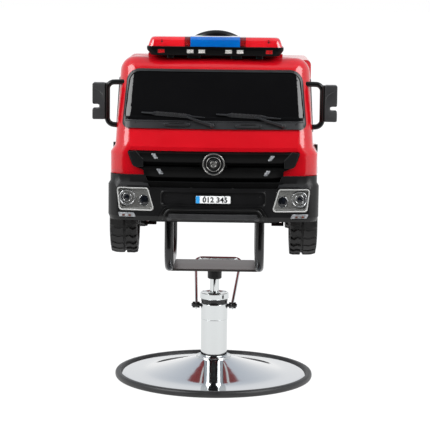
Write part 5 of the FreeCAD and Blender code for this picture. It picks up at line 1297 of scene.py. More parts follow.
def makeBumper():
    spots = metres(bumper["screws"] + bumper["cornerMarks"])
    spots = [frontPoint(*spot, "bumper", "grille", "cab_shell") for spot in spots]
    addGrown("bumperScrews", "marks", "satin", screwHead(*bumper["screw"]), "car", "zinc_fastener",
        marked(spots))
    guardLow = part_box("bumper_guard")[0]
    lug = lathe(metres(bumper["lug"]), 14,
        (-bumper["lugSpan"] * mm, guardLow.y + bumper["lugBack"], bumper["lugZ"]), bumper["lugNormal"])
    step = 2 * bumper["lugSpan"] * mm / (bumper["lugCount"] - 1)
    addGrown("skidLugs", "row", "surround", lug, "car", "black_plastic", Count=bumper["lugCount"],
        Step=(step, 0, 0))

    front = ["bumper", "lamp_lenses", "lamp_housings", "bumper_guard"]
    for name, finish, half, steps, hitZ, z, back, height, depth in bumper["strips"]:
        line = []
        for step in range(steps + 1):
            x = (-half + 2 * half * step / steps) * mm
            line.append((x, frontPoint(x, hitZ * mm, *front)[0].y + back * mm, z * mm))
        addPiece(name, barAlong(line, height * mm, depth * mm), finish, "car", "black_plastic", sharp=30)
    line = metres(bumper["rail"])
    line = smoothCurve(line + metres(bumper["railTop"]) + [(-x, z) for x, z in reversed(line)], 6)
    rail = [(x, frontPoint(x, z - 1.5 * mm, *front)[0].y + 0.4 * mm, z) for x, z in line]
    addPiece("guardRail", tubeAlong(rail, bumper["railRadius"], 12), "satin", "car", "black_plastic",
        sharp=60)
    outline = softCorners(metres(bumper["recess"]), 9 * mm, 5)
    bead = laidOn(outline, metres(bumper["recessBead"]), front, True)
    addPiece("recessBead", bead, "satin", "car", "black_plastic", sharp=60)

    lampLine = softCorners(metres(bumper["lampOutline"]), 11 * mm, 5)
    bezel = laidOn(lampLine, metres(bumper["bezel"]), front, True)
    bowl = laidOn(lampLine, metres(bumper["bowl"]), front)
    fogLine = softCorners(metres(bumper["fogOutline"]), 2.4 * mm, 3)
    fog = laidOn(fogLine, metres(bumper["fog"]), front)
    rings, pods, domes, darks, ambers = [], [], [], [], []
    x, z = bumper["lampX"] * mm, bumper["lampZ"] * mm
    face = frontPoint(x, z, "lamp_lenses")[0].y + bumper["lampBack"]
    for ring in bumper["lampRings"]:
        rings.append(lathe(ringSection(*ring), 56, (x, face, z), forward))
    pods.append(lathe(metres(bumper["pod"]), 56, (x, face, z), forward))
    domes.append(lathe(metres(bumper["bulb"]), 32, (x, face, z), forward))
    flute = moved(prism(roundBox(*bumper["flute"], 0.4 * mm, 2), -1 * mm, 1.6 * mm),
        Matrix.Translation((0, 0, bumper["fluteRadius"])))
    flutes = meshOf(grown("lampFlutes", "ring", "lampRing", flute, Count=bumper["flutes"], Axis=(0, 1, 0)))
    rings.append(moved(flutes, Matrix.Translation((x, face + bumper["fluteBack"], z))))
    x, z = bumper["dipX"] * mm, bumper["dipZ"] * mm
    face = frontPoint(x, z, "lamp_lenses")[0].y + bumper["lampBack"]
    darks.append(lathe(metres(bumper["dipLens"]), 40, (x, face, z), forward))
    rings.append(lathe(ringSection(*bumper["dipRing"]), 48, (x, face, z), forward))
    for bit in bumper["fogBits"]:
        place, normal = frontPoint(bit * mm, bumper["fogBitZ"], "lamp_lenses")
        ambers.append(onFace(roundBox(*bumper["fogBitSize"], 2 * mm, 3), -2.8 * mm, 2 * mm, place, normal,
            0.8 * mm))
    for name, parts in {"lampBezels": [bezel], "lampBowls": [bowl], "lampRings": rings, "lampPods": pods,
            "lampBulbs": domes, "dipLenses": darks, "fogLamps": [fog], "fogBulbs": ambers}.items():
        finish, slotName, sharp, *replaced = lampLooks[name]
        addPiece(name, bothSides(together(*parts)), finish, "car", slotName, *replaced, sharp=sharp)
    print("bumper and lamps made")


def makePlate():
    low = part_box("number_plate")[0]
    width, height = bumper["plateWidth"] * mm, bumper["plateHeight"] * mm
    z = bumper["plateZ"] * mm
    place = Vector((0, low.y, z))
    border = onFace(roundBox(width, height, 3 * mm, 4), -0.2 * mm, 3 * mm, place, forward, 0.6 * mm)
    addPiece("plateFrame", border, "satin", "car", "black_plastic", "number_plate")
    clear = bumper["plateClear"] * mm
    sheet = onFace(roundBox(width - clear * 2, height - clear * 2, 1.6 * mm, 4), -0.8 * mm, 2 * mm, place,
        forward, 0.25 * mm)
    addPiece("plateSheet", sheet, "white", "car", "plate_white")
    strip = bumper["plateStrip"] * mm
    left = place + Vector((-width / 2 + clear + strip / 2 + 0.2 * mm, 0, 0))
    band = onFace(roundBox(strip, height - clear * 2 - 0.6 * mm, 1.2 * mm, 3), -1.0 * mm, 1 * mm, left,
        forward, 0.15 * mm)
    addPiece("plateStrip", band, "blueInk", "car", "plate_white")

    words = bpy.data.curves.new("plateDigits", "FONT")
    words.body = bumper["plateDigits"]
    words.align_x = "CENTER"
    words.align_y = "CENTER"
    words.extrude = 0.4 * mm
    words.offset = 0.75 * mm
    words.size = bumper["digitHeight"] * mm * 1.42
    words.space_character = 1.08
    holder = bpy.data.objects.new("plateDigits", words)
    bpy.context.scene.collection.objects.link(holder)
    graph = bpy.context.evaluated_depsgraph_get()
    data = bpy.data.meshes.new_from_object(holder.evaluated_get(graph))
    bpy.data.objects.remove(holder)
    mesh = bmesh.new()
    mesh.from_mesh(data)
    spans = [[v.co[axis] for v in mesh.verts] for axis in (0, 1)]
    middleX, middleY = ((min(span) + max(span)) / 2 for span in spans)
    shift = place + Vector((strip / 2, -0.9 * mm, 0))
    moved(mesh, Matrix.Translation(shift) @ Matrix.Rotation(math.radians(90), 4, "X")
        @ Matrix.Translation((-middleX, -middleY, 0)))
    addPiece("plateNumber", mesh, "blackInk", "car", "plate_white")
    bolts = [(place + Vector((x * mm, -0.7 * mm, height / 2 - 4.6 * mm)), forward)
        for x in bumper["plateBolts"]]
    addGrown("plateBolts", "marks", "zinc", screwHead(1.9 * mm, 1.1 * mm), "car", "zinc_fastener",
        marked(bolts))
    print("number plate made")


# Wheels: blown tyres with two rows of lugs, a dished hub, its ribs and nuts

wheels = {
    "centreX": 291 * mm,
    "axleZ": 613 * mm,
    "axles": {"front": -340 * mm, "rear": 285 * mm},
    "count": 24,
    "innerShare": 0.79,
    # Radius and place along the axle of the section, from the outer face's middle inwards
    "section": [(0, 33), (16, 33), (18, 31), (24, 30), (27, 23), (31, 21), (60, 21), (66, 23.5),
                (70, 31), (71.5, 44), (74, 48.4), (78, 50.6), (88, 51), (97, 50), (104, 46.6),
                (109, 41.5), (112.6, 35), (114.2, 27), (114.6, 5), (113.6, 3), (110.4, 2.2),
                (110.2, -2.2), (111, -4), (111, -38), (108, -44), (103, -48), (96, -50.4),
                (88, -51), (78, -50.6), (73, -48), (71, -42), (68, -30), (62, -26), (30, -25),
                (25, -27), (24, -50), (0, -51)],
    "innerLug": [(-49, -5), (-34, -11), (-21, -4), (-5, -9), (-4, 7), (-20, 12), (-34, 5),
                 (-48, 10)],
    "outerLug": [(5, -12), (22, -14), (34, -9), (47.5, -9), (47.5, 11), (34, 12), (22, 8), (5, 11)],
    "lugTops": [117.8, 117.2],
    "rib": [(21, 0, 25), (24, 0, 45), (27, 0, 69)],
    "ribHalves": [(3.4, 3.2), (4.2, 3.2), (6.4, 3.0)],
    "hubRing": [(26, 22), (26, 33.5), (24.5, 35), (19, 35), (17.5, 33), (17.5, 22)],
    "nut": [(0, 20), (4.6, 20), (4.6, 25), (3.8, 26.2), (2.2, 26.2), (2.0, 28), (0, 28.6)],
    "nutZ": 43 * mm,
    "cap": [(0, 30), (13.5, 30), (13.5, 36), (12, 39), (8, 41), (3, 41.8), (0, 42)],
}


def lugForm(outline, bottom, top, bevel):
    # A block on the tread: its outline is in the axle's direction and round the tyre
    rings = []
    for height, inset in ((bottom, 0), (top - bevel, 0), (top, bevel)):
        ring = []
        for along, around in inner([Vector(point) for point in outline], inset):
            spoke = around / 118
            reach = height - max(abs(along) - 31, 0) * 0.3
            ring.append((along * mm, reach * math.sin(spoke) * mm, reach * math.cos(spoke) * mm))
        rings.append(ring)
    return stacked(rings)


def makeWheels():
    count = wheels["count"]
    axle = (1, 0, 0)
    narrow = wheels["innerShare"]
    section = metres([(r, a if a > 0 else a * narrow) for r, a in wheels["section"]])
    tyre = lathe(section, 96, axis=axle)
    lowTop, highTop = wheels["lugTops"]
    innerLug = [(along * narrow, around) for along, around in wheels["innerLug"]]
    innerLugs = meshOf(grown("lugs", "ring", "tyre", lugForm(innerLug, 104, lowTop, 1.4), Count=count,
        Axis=axle))
    outerLugs = meshOf(grown("lugs", "ring", "tyre", lugForm(wheels["outerLug"], 104, highTop, 1.0),
        Count=count, Axis=axle))
    tread = together(tyre, innerLugs, outerLugs)
    heights, depths = (list(half) for half in zip(*metres(wheels["ribHalves"])))
    rib = barAlong(metres(wheels["rib"]), heights, depths, axle)
    ribs = [meshOf(grown("ribs", "ring", "satin", rib, Count=6, Axis=axle))]
    ribs.append(lathe(ringSection(70.5, 2.3, 46), 96, axis=axle))
    hubRing = metres(wheels["hubRing"])
    ribs.append(lathe(hubRing + hubRing[:1], 64, axis=axle))
    hub = together(*ribs)
    nutPlace = Matrix.Translation((0, 0, wheels["nutZ"])) @ Matrix.Rotation(0.3, 4, "X")
    nut = moved(lathe(metres(wheels["nut"]), 6, axis=axle), nutPlace)
    nuts = meshOf(grown("nuts", "ring", "zinc", nut, Count=6, Axis=axle))
    cap = lathe(metres(wheels["cap"]), 40, axis=axle)
    steelParts = together(nuts, cap)
    # Ribs stand between the nuts
    steelParts = moved(steelParts, Matrix.Rotation(math.radians(30), 4, "X"))
    for end, y in wheels["axles"].items():
        for side in ("right", "left"):
            name = end + "_" + side
            shift = Matrix.Translation((wheels["centreX"], y, wheels["axleZ"]))
            replaced = {"tyre_": ["wheel_" + name]}
            for label, mesh, finish, slotName in (("tyre_", tread, "tyre", "wheel_plastic"),
                    ("hub_", hub, "satin", "wheel_plastic"),
                    ("nuts_", steelParts, "zinc", "zinc_fastener")):
                copy = moved(mesh.copy(), shift)
                if side == "left":
                    copy = flipped(copy)
                addPiece(label + name, copy, finish, "wheel_" + name, slotName, *replaced.get(label, []),
                    sharp=34)
    for mesh in (tread, hub, steelParts):
        mesh.free()
    print("wheels made")


# Seat: two blown cushions with sewn channels, piping and stitches

cushions = {
    "voxel": 5 * mm,
    "pressure": 4.0,
    "frames": 20,
    "start": 0.97,
    "seat_pad": {"cap": 7 * mm, "face": (0, 0, 1), "channels": [-52, 52], "pipeShare": 0.46,
                 "fill": 0.7},
    "back_pad": {"cap": 6 * mm, "face": (0, -0.997, 0.073), "channels": [-50, 50],
                 "pipeShare": 0.5, "fill": 0.6},
    "channelDepth": 3.2 * mm,
    "channelWidth": 5 * mm,
    "stitchPitch": 6.5 * mm,
    "stitch": [(0, -2.2), (0.5, -1.6), (0.75, 0), (0.5, 1.6), (0, 2.2)],
}


def blowUp(piece, cap):
    # Swells the pad with Blender's cloth, and no point moves further than the cap
    scene = bpy.context.scene
    cloth = piece.modifiers.new("Air", "CLOTH")
    cloth.settings.quality = 5
    cloth.settings.mass = 0.3
    cloth.settings.use_pressure = True
    cloth.settings.uniform_pressure_force = cushions["pressure"]
    cloth.settings.effector_weights.gravity = 0
    cloth.settings.tension_stiffness = 20
    cloth.settings.compression_stiffness = 20
    start = [vertex.co.copy() for vertex in piece.data.vertices]
    for step in range(1, cushions["frames"] + 1):
        scene.frame_set(step)
    blown = piece.evaluated_get(bpy.context.evaluated_depsgraph_get())
    ends = [vertex.co.copy() for vertex in blown.data.vertices]
    piece.modifiers.clear()
    scene.frame_set(1)
    for vertex, before, after in zip(piece.data.vertices, start, ends):
        move = after - before
        if move.length > cap:
            move = move * (cap / move.length)
        vertex.co = before + move


def makeCushion(nodeName, body):
    plan = cushions[nodeName]
    low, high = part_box(nodeName)
    middle = (low + high) / 2
    mesh = weldedCopy(nodeName)
    size = Matrix.Diagonal((cushions["start"], cushions["start"], cushions["start"], 1))
    moved(mesh, Matrix.Translation(middle) @ size @ Matrix.Translation(-middle))
    piece = objectFrom(nodeName + "_blown", mesh, "vinyl", 180)
    settle(modified(piece, "REMESH", mode="VOXEL", voxel_size=cushions["voxel"], use_smooth_shade=True))
    blowUp(piece, plan["cap"])
    settle(modified(piece, "SMOOTH", factor=0.5, iterations=3))
    settle(modified(piece, "SUBSURF", levels=1, render_levels=1))
    face = Vector(plan["face"]).normalized()
    depth = cushions["channelDepth"]
    width = cushions["channelWidth"]
    for vertex, normal in zip(piece.data.vertices, piece.data.vertex_normals):
        facing = max(normal.vector.dot(face) - 0.3, 0) / 0.7
        for x in plan["channels"]:
            away = (vertex.co.x - x * mm) / width
            vertex.co -= face * (depth * math.exp(-away * away) * min(facing * 1.6, 1))
    piece.data.materials.clear()
    piece.data.materials.append(finishes["vinyl"])
    piece.data.shade_smooth()
    finishPiece(piece, body, "seat_leather", nodeName)

    tree = BVHTree.FromPolygons([v.co for v in piece.data.vertices],
        [p.vertices for p in piece.data.polygons])
    tall = Vector((1, 0, 0)).cross(face)
    stitchLines = []
    for x in plan["channels"]:
        line = []
        for step in range(41):
            reach = -0.5 + step / 40
            across = Vector((x * mm, 0, 0))
            start = middle + face * 0.2 + across + tall * (reach * 0.9) * (high - low).length * 0.62
            point = tree.ray_cast(start, -face)[0]
            if point and (point - middle).dot(face) > 0:
                line.append(point + face * 0.5 * mm)
        stitchLines.append(line)
    rim = []
    level = middle + face * (plan["pipeShare"] - 0.5) * abs((high - low).dot(face))
    for step in range(96):
        angle = 2 * math.pi * step / 96
        direction = Vector((math.cos(angle), 0, 0)) + tall * math.sin(angle)
        hit = tree.ray_cast(level + direction * 0.4, -direction)[0]
        rim.append(hit - direction * 0.4 * mm)
    addPiece(nodeName + "_piping", tubeAlong(rim, 2.6 * mm, 10, True), "vinyl", body, "seat_leather",
        sharp=60)
    for index, line in enumerate(stitchLines):
        stitch = lathe(metres(cushions["stitch"]), 6, axis=(1, 0, 0))
        addGrown(nodeName + "_stitches" + str(index), "seam", "thread", stitch, body, "seat_leather",
            path(line), Pitch=cushions["stitchPitch"])


def makeSeat():
    makeCushion("seat_pad", "car")
    makeCushion("back_pad", "car")
    print("cushions made")


# Driver's place: dials, air vents, buttons and pedal ribs

cockpit = {
    "dials": [-42, 42],
    "dialZ": 1000 * mm,
    "dialRadius": 30 * mm,
    "dialFace": (-1 * mm, 1.2 * mm),
    "ticks": 11,
    "vents": [-205, 205],
    "ventSize": (70, 38),
    "ventInset": 5 * mm,
    "ventSlats": 6,
    "slatThick": 1.6 * mm,
    "buttons": 5,
    "buttonSize": (11 * mm, 9 * mm),
    "buttonPitch": 16 * mm,
    "ventZ": 985 * mm,
    "ventRim": [(0, 2), (0, -3), (1.5, -4), (4, -4), (5, -2.4), (5, 2)],
    "firstButton": (-32 * mm, 940 * mm),
    "needle": [(-1.2, -5), (1.2, -5), (0.3, 22), (-0.3, 22)],
    "needleCap": [(0, 0), (3.4, 0), (3, 2), (0, 2.6)],
    "tick": [(-0.5, 22), (0.5, 22), (0.5, 26.5), (-0.5, 26.5)],
    # Radius beyond the dial's own and height of the bezel's section
    "bezel": [(-1.5, 0), (-1.5, 3.4), (0.5, 5), (3, 4), (4, -1), (-1.5, -1), (-1.5, 0)],
    "hinge": (84, -352, 662),
    "pedalSlope": 38,
    # Distance of the first rib from the hinge, along the plate and off it, and half its length
    "firstRib": (20, 9),
    "ribHalf": 24 * mm,
    "ribSection": (1.6 * mm, 1.5 * mm),
    "ribs": 10,
    "ribPitch": 7.6,
}


def makeCockpit():
    faces, bezels, needles, slots, ventRims = [], [], [], [], []
    for x in cockpit["dials"]:
        place, normal = dashPoint(x * mm, cockpit["dialZ"])
        radius = cockpit["dialRadius"]
        low, high = cockpit["dialFace"]
        faces.append(lathe([(0, low), (radius, low), (radius, high), (0, high)], 48, place, normal))
        section = [(radius + r, z) for r, z in metres(cockpit["bezel"])]
        bezels.append(lathe(section, 64, place, normal))
        turn = Matrix.Translation(place + normal * 2.0 * mm) @ turnTo(normal)
        needle, tick = (stacked([metres([(*point, z) for point in cockpit[label]]) for z in (0, height)])
            for label, height in (("needle", 1), ("tick", 0.5)))
        needles.append(moved(needle, turn @ Matrix.Rotation(math.radians(55), 4, "Z")))
        needles.append(moved(lathe(metres(cockpit["needleCap"]), 20), turn))

        ring = meshOf(grown("ticks", "ring", "blackInk", tick, Count=cockpit["ticks"], Axis=(0, 0, 1)))
        turn = Matrix.Translation(place + normal * 1.0 * mm) @ turnTo(normal)
        addPiece("dialTicks" + ("Left" if x < 0 else "Right"), moved(ring, turn), "blackInk", "car",
            "plate_white")
    width, height = (size * mm for size in cockpit["ventSize"])
    for x in cockpit["vents"]:
        place, normal = dashPoint(x * mm, cockpit["ventZ"])
        outline = roundBox(width, height, 6 * mm, 4)
        rim = [[(a, depth, b) for a, b in inner(outline, inset)]
            for inset, depth in metres(cockpit["ventRim"])]
        turn = Matrix.Translation(place) @ turnTo(normal, forward)
        ventRims.append(moved(stacked(rim, True), turn))
        inset, count = cockpit["ventInset"], cockpit["ventSlats"]
        slots.append(moved(prism(inner(outline, inset), -0.5 * mm, 1 * mm), turn))
        slat = roundBox(width - 2 * inset, cockpit["slatThick"], 0.6 * mm, 2)
        slat = moved(prism(slat, -3.2 * mm, 0.5 * mm), turn)
        slat = moved(slat, Matrix.Translation((0, 0, -height * 0.28)))
        addGrown("ventSlats" + ("Left" if x < 0 else "Right"), "row", "satin", slat, "car", "black_plastic",
            Count=count, Step=(0, 0, height * 0.56 / (count - 1)))
    place, normal = dashPoint(*cockpit["firstButton"])
    button = onFace(roundBox(*cockpit["buttonSize"], 2 * mm, 3), -3 * mm, 2 * mm, place, normal, 1 * mm)
    addGrown("dashButtons", "row", "acrylic", button, "car", "gloss_black", Count=cockpit["buttons"],
        Step=(cockpit["buttonPitch"], 0, 0))
    for name, parts, finish, slotName in (("dialFaces", faces, "white", "plate_white"),
            ("dialBezels", bezels, "lampRing", "lamp_bowl"), ("dialNeedles", needles, "thread", "red_lens"),
            ("ventRims", ventRims, "satin", "black_plastic"),
            ("ventBacks", slots, "blackInk", "black_plastic")):
        addPiece(name, together(*parts), finish, "car", slotName, sharp=40)

    # Rubber ribs across the pedal's plate
    hinge = Vector(cockpit["hinge"]) * mm
    slope = math.radians(cockpit["pedalSlope"])
    along = Vector((0, -math.cos(slope), math.sin(slope)))
    out = Vector((0, math.sin(slope), math.cos(slope)))
    ahead, above = cockpit["firstRib"]
    start = hinge + along * ahead * mm + out * above * mm
    half = Vector((cockpit["ribHalf"], 0, 0))
    rib = barAlong([start - half, start + half], *cockpit["ribSection"], tuple(out))
    addGrown("pedalRibs", "row", "rubber", rib, "pedal", "rim_rubber", Count=cockpit["ribs"],
        Step=tuple(along * cockpit["ribPitch"] * mm))
    print("cockpit made")


# Rear body: shutters, black rims and step, lamp cells, reflectors, roof ribs, handles and hinges

rear = {
    "slatPitch": 22.08,
    "slatCount": 12,
    "firstZ": 811.1,
    "nearY": 225, "farY": 539,
    "rearHalf": 240,
    "sideX": 332.6, "backY": 584.8,
    "lampOutline": [(213, 786), (303, 786), (303, 828), (213, 828)],
    # The clear cell on the inside and the orange cell on the outside of each tail lamp
    "lampSide": [(219.5, 238), (273, 296.5)],
    "reflectorX": 257,
    "handleY": [-55, 25],
    "handleZ": 884,
    "slatHalf": (11.3 * mm, 3.4 * mm),
    # Height, half height and half depth of the bars under and over each side shutter
    "bars": [(794.5, 4.6, 3.6), (1070.5, 4.4, 3.4)],
    "barY": (224 * mm, 540 * mm),
    "gripZ": {"sideGrip": 803, "rearGrip": 872},
    "gripRadius": 3.2 * mm,
    "rearFirstZ": 862 * mm,
    "rearSlats": 10,
    "rimZ": (842 * mm, 1080 * mm),
    "rimMargin": 9 * mm,
    "rimY": 585,
    "sideGrip": [(334, 330), (339.5, 334), (341, 342), (341, 422), (339.5, 430), (334, 434)],
    "rearGrip": [(-60, 588), (-56, 592.5), (-48, 593), (48, 593), (56, 592.5), (60, 588)],
    # Inset and depth of the sections of both rims
    "rim": [(0, -1), (0, 3), (1.5, 4.6), (6.5, 4.6), (8, 3), (8, -1)],
    "lampRim": [(0, -1), (0, 5), (1, 6.6), (3.4, 6.6), (4.6, 5), (4.6, -1)],
    "cellZ": (792.5, 821.5),
    "reflectorZ": 764,
    "reflectorRim": [(13.6, -2), (17.5, -2), (17.5, 3.4), (16, 4.8), (14, 4.8), (13.6, -2)],
    "reflector": [(0, -2), (14, -2), (14, 3), (12.5, 4.6), (0, 5.2)],
    "reflectorY": 586,
    "cellY": (589 * mm, 592.2 * mm),
    "step": [(-285, 587, 722), (285, 587, 722)],
    "stepHalf": (15 * mm, 3.4 * mm),
    "firstLug": (-270 * mm, 590 * mm, 722 * mm),
    "lugCount": 31,
    "lugPitch": 18 * mm,
    "stepLug": [(0, -2), (5, -2), (5, 1.4), (4, 2), (0, 2)],
    "roofRib": [(-200, 262, 1118.6), (-200, 522, 1118.6)],
    "ribHalf": (9 * mm, 1.6 * mm),
    "ribCount": 9,
    "ribPitch": 50 * mm,
    # Share of the way between its feet and height over the door
    "handle": [(0, -2), (0, 7), (0.08, 12), (0.2, 14), (0.8, 14), (0.92, 12), (1, 7), (1, -2)],
    "handleFoot": [(0, -3), (9, -3), (9, 2), (7.4, 3.4), (0, 3.4)],
    "hingeX": 342, "hingeY": -176.5,
    "hingeZ": [752, 828],
    "hingeSleeve": [(6.05, 0), (6.7, 0.4), (6.7, 21.6), (6.05, 22), (6.05, 0)],
}


def makeRear():
    pitch = rear["slatPitch"] * mm
    x = rear["sideX"] * mm
    first = rear["firstZ"] * mm
    for name, sign in (("Right", 1), ("Left", -1)):
        face = sign * (x - 1.0 * mm)
        slat = barAlong([(face, rear["nearY"] * mm, first), (face, rear["farY"] * mm, first)],
            *rear["slatHalf"], (1, 0, 0))
        addGrown("shutterSlats" + name, "row", "shutter", slat, "car", "lamp_bowl", Count=rear["slatCount"],
            Step=(0, 0, pitch))
    lowBar, topBar = (barAlong([(x, y, z * mm) for y in rear["barY"]], tall * mm, deep * mm, (1, 0, 0))
        for z, tall, deep in rear["bars"])
    grips = [tubeAlong(smoothCurve(metres([(a, b, z) for a, b in rear[label]]), 5), rear["gripRadius"], 10)
        for label, z in rear["gripZ"].items()]
    addPiece("shutterBars", bothSides(together(lowBar, grips[0], topBar)), "satin", "car", "black_plastic",
        sharp=40)

    y = rear["backY"] * mm
    half = rear["rearHalf"] * mm
    slat = barAlong([(side, y, rear["rearFirstZ"]) for side in (-half, half)], *rear["slatHalf"], (0, 1, 0))
    addGrown("rearSlats", "row", "shutter", slat, "car", "lamp_bowl", Count=rear["rearSlats"],
        Step=(0, 0, pitch))
    side, (under, over) = half + rear["rimMargin"], rear["rimZ"]
    outline = softCorners([(-side, under), (side, under), (side, over), (-side, over)], 8 * mm, 4)
    lampLine = softCorners(metres(rear["lampOutline"]), 7 * mm, 4)
    rim, lampRim = (stacked([[(a, (rear["rimY"] + depth) * mm, b) for a, b in inner(line, inset * mm)]
        for inset, depth in rear[label]], True) for line, label in ((outline, "rim"),
        (lampLine, "lampRim")))
    step = barAlong(metres(rear["step"]), *rear["stepHalf"], (0, 1, 0))
    lampSide, reflectorX = rear["lampSide"], rear["reflectorX"]
    discs = metres([(x, rear["reflectorY"], rear["reflectorZ"]) for x in (-reflectorX, reflectorX)])
    discRim = lathe(metres(rear["reflectorRim"]), 40, discs[1], (0, 1, 0))
    addPiece("rearTrim", together(rim, step, grips[1], bothSides(together(lampRim, discRim))), "satin",
        "car", "black_plastic", sharp=40)
    for name, finish, slotName, (low, high) in (("turnLenses", "orange", "red_lens", lampSide[1]),
            ("backUpLenses", "white", "clear_lens", lampSide[0])):
        under, over = rear["cellZ"]
        cell = softCorners(metres([(low, under), (high, under), (high, over), (low, over)]), 3 * mm, 3)
        lens = bothSides(prism(cell, *rear["cellY"]))
        addPiece(name, lens, finish, "car", slotName, sharp=30)
    lug = lathe(metres(rear["stepLug"]), 10, rear["firstLug"], (0, 1, 0))
    addGrown("stepLugs", "row", "grained", lug, "car", "black_plastic", Count=rear["lugCount"],
        Step=(rear["lugPitch"], 0, 0))
    discs = [lathe(metres(rear["reflector"]), 36, place, (0, 1, 0)) for place in discs]
    addPiece("reflectors", together(*discs), "redLens", "car", "red_lens", sharp=40)

    rib = barAlong(metres(rear["roofRib"]), *rear["ribHalf"], (0, 0, 1))
    addGrown("roofRibs", "row", "red", rib, "car", "red_plastic", Count=rear["ribCount"],
        Step=(rear["ribPitch"], 0, 0))

    near, far = (place * mm for place in rear["handleY"])
    z = rear["handleZ"] * mm
    for side, sign in (("right", 1), ("left", -1)):
        door = ["door_" + side]
        ends = [surfaceHit(door, (sign, place, z), (-sign, 0, 0)) for place in (near, far)]
        outward = Vector((sign, 0, 0))
        line = []
        for share, lift in rear["handle"]:
            line.append(ends[0][0].lerp(ends[1][0], share) + outward * lift * mm)
        parts = [tubeAlong(smoothCurve([tuple(point) for point in line], 4), 5 * mm, 12)]
        for point, normal in ends:
            parts.append(lathe(metres(rear["handleFoot"]), 24, point, normal))
        for hingeZ in rear["hingeZ"]:
            parts.append(lathe(metres(rear["hingeSleeve"]), 32,
                (sign * rear["hingeX"] * mm, rear["hingeY"] * mm, hingeZ * mm)))
        addPiece("doorFittings_" + side, together(*parts), "satin", "door_" + side, "black_plastic",
            sharp=50)
    print("rear made")


# Camera, floor, light and surroundings

shot = {
    "place": (0.0825, -6.2995, 1.431),
    "heading": -0.761,
    "tilt": -7.708,
    "roll": 0.66,
    "lens": 150.9,
}
studio = {
    "floorReach": 60.0,
    "floorFront": -1.9,
    "floorGlow": 0.92,
    "sideLight": {"place": (3.4, -2.4, 3.2), "size": (2.4, 3.0), "power": 160.0},
    "topLight": {"place": (0.0, -2.9, 3.6), "size": (3.2, 2.0), "power": 80.0},
}


def makeCamera():
    heading, tilt, roll = (math.radians(shot[key]) for key in ("heading", "tilt", "roll"))
    look = Vector((math.sin(heading) * math.cos(tilt), math.cos(heading) * math.cos(tilt), math.sin(tilt)))
    right = look.cross(up).normalized()
    above = right.cross(look)
    across = right * math.cos(roll) + above * math.sin(roll)
    upright = above * math.cos(roll) - right * math.sin(roll)
    data = bpy.data.cameras.new("photoCamera")
    data.lens = shot["lens"]
    data.sensor_width = 36
    data.clip_end = 200
    camera = bpy.data.objects.new("photoCamera", data)
    bpy.context.scene.collection.objects.link(camera)
    turn = Matrix((across, upright, -look)).transposed().to_4x4()
    camera.matrix_world = Matrix.Translation(shot["place"]) @ turn
    bpy.context.scene.camera = camera


def areaLight(name, place, size, power):
    data = bpy.data.lights.new(name, "AREA")
    data.shape = "RECTANGLE"
    data.size, data.size_y = size
    data.energy = power
    lamp = bpy.data.objects.new(name, data)
    bpy.context.scene.collection.objects.link(lamp)
    # The light itself doesn't show in the gloss from above; the room does
    lamp.visible_glossy = name != "topLight"
    aim = (Vector((0, 0, 0.7)) - Vector(place)).normalized()
    lamp.matrix_world = Matrix.Translation(place) @ turnTo(aim, -up)


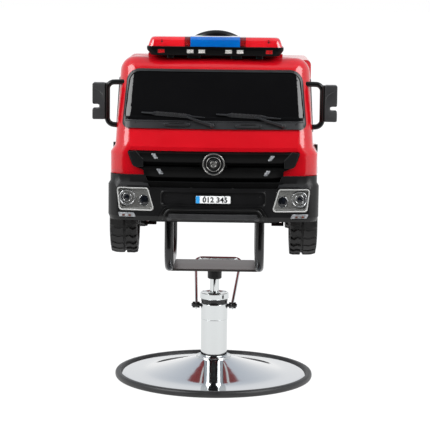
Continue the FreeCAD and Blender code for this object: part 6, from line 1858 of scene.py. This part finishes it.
def makeStudio():
    world = bpy.data.worlds.new("studio")
    bpy.context.scene.world = world
    world.use_nodes = True
    tree = world.node_tree
    tree.nodes.clear()
    place = addNode(tree, "ShaderNodeTexCoord").outputs["Generated"]
    split = addNode(tree, "ShaderNodeSeparateXYZ", links={0: place})
    # The room is dark on the camera's side, from the end of the white floor up to the ceiling
    level = addNode(tree, "ShaderNodeVectorMath", {"operation": "NORMALIZE"},
        {0: addNode(tree, "ShaderNodeVectorMath", {"operation": "MULTIPLY", 1: (1, 1, 0)},
        {0: place}).outputs[0]})
    course = addNode(tree, "ShaderNodeSeparateXYZ", links={0: level})
    toFront = addNode(tree, "ShaderNodeMapRange", {"From Min": -0.62, "From Max": -0.8,
        "interpolation_type": "SMOOTHSTEP"}, {"Value": course.outputs["Y"]})
    low = addNode(tree, "ShaderNodeMapRange", {"From Min": 0.8, "From Max": 0.66,
        "interpolation_type": "SMOOTHSTEP"}, {"Value": split.outputs["Z"]})
    dark = addNode(tree, "ShaderNodeMath", {"operation": "MULTIPLY"}, {0: toFront, 1: low})
    sky = addNode(tree, "ShaderNodeValToRGB", links={"Fac": split.outputs["Z"]})
    sky.color_ramp.elements[0].position = 0.12
    sky.color_ramp.elements[0].color = (1, 1, 1, 1)
    sky.color_ramp.elements[1].position = 0.6
    sky.color_ramp.elements[1].color = (0.62, 0.66, 0.72, 1)
    room = addNode(tree, "ShaderNodeMix", {"data_type": "RGBA", 7: (0.02, 0.02, 0.021, 1)},
        {0: dark, 6: sky})
    # Straight into the room the backdrop is white all round; the dark side shows only in the gloss
    seen = addNode(tree, "ShaderNodeLightPath").outputs["Is Camera Ray"]
    room = addNode(tree, "ShaderNodeMix", {"data_type": "RGBA", 7: (1, 1, 1, 1)},
        {0: seen, 6: room.outputs[2]})
    shell = addNode(tree, "ShaderNodeBackground", {"Strength": 1.0}, {"Color": room.outputs[2]})
    addNode(tree, "ShaderNodeOutputWorld", links={"Surface": shell})

    # White paper that is lit through, so that it stays white to the horizon
    floorFinish, tree, shader = newFinish("Lit white paper", "#5C5C5C", Roughness=0.9,
        Emission_Strength=studio["floorGlow"])
    shader.inputs["Emission Color"].default_value = (1, 1, 1, 1)
    reach = studio["floorReach"]
    front = studio["floorFront"]
    data = bpy.data.meshes.new("studioFloor")
    data.from_pydata([(-reach, front, 0), (reach, front, 0), (reach, reach, 0), (-reach, reach, 0)], [],
        [(0, 1, 2, 3)])
    data.materials.append(floorFinish)
    floor = bpy.data.objects.new("studioFloor", data)
    bpy.context.scene.collection.objects.link(floor)

    side = studio["sideLight"]
    x, y, z = side["place"]
    areaLight("sideLightRight", (x, y, z), side["size"], side["power"])
    areaLight("sideLightLeft", (-x, y, z), side["size"], side["power"])
    top = studio["topLight"]
    areaLight("topLight", top["place"], top["size"], top["power"])
    bpy.context.scene.view_settings.view_transform = "Standard"
    print("studio made")


makeFinishes()
makeTrees()
makeBase()
makePump()
makeBody()
makeLightBar()
makeWipers()
makeMirrors()
makeGrille()
makeBumper()
makePlate()
makeWheels()
makeSeat()
makeCockpit()
makeRear()
makeCamera()
makeStudio()
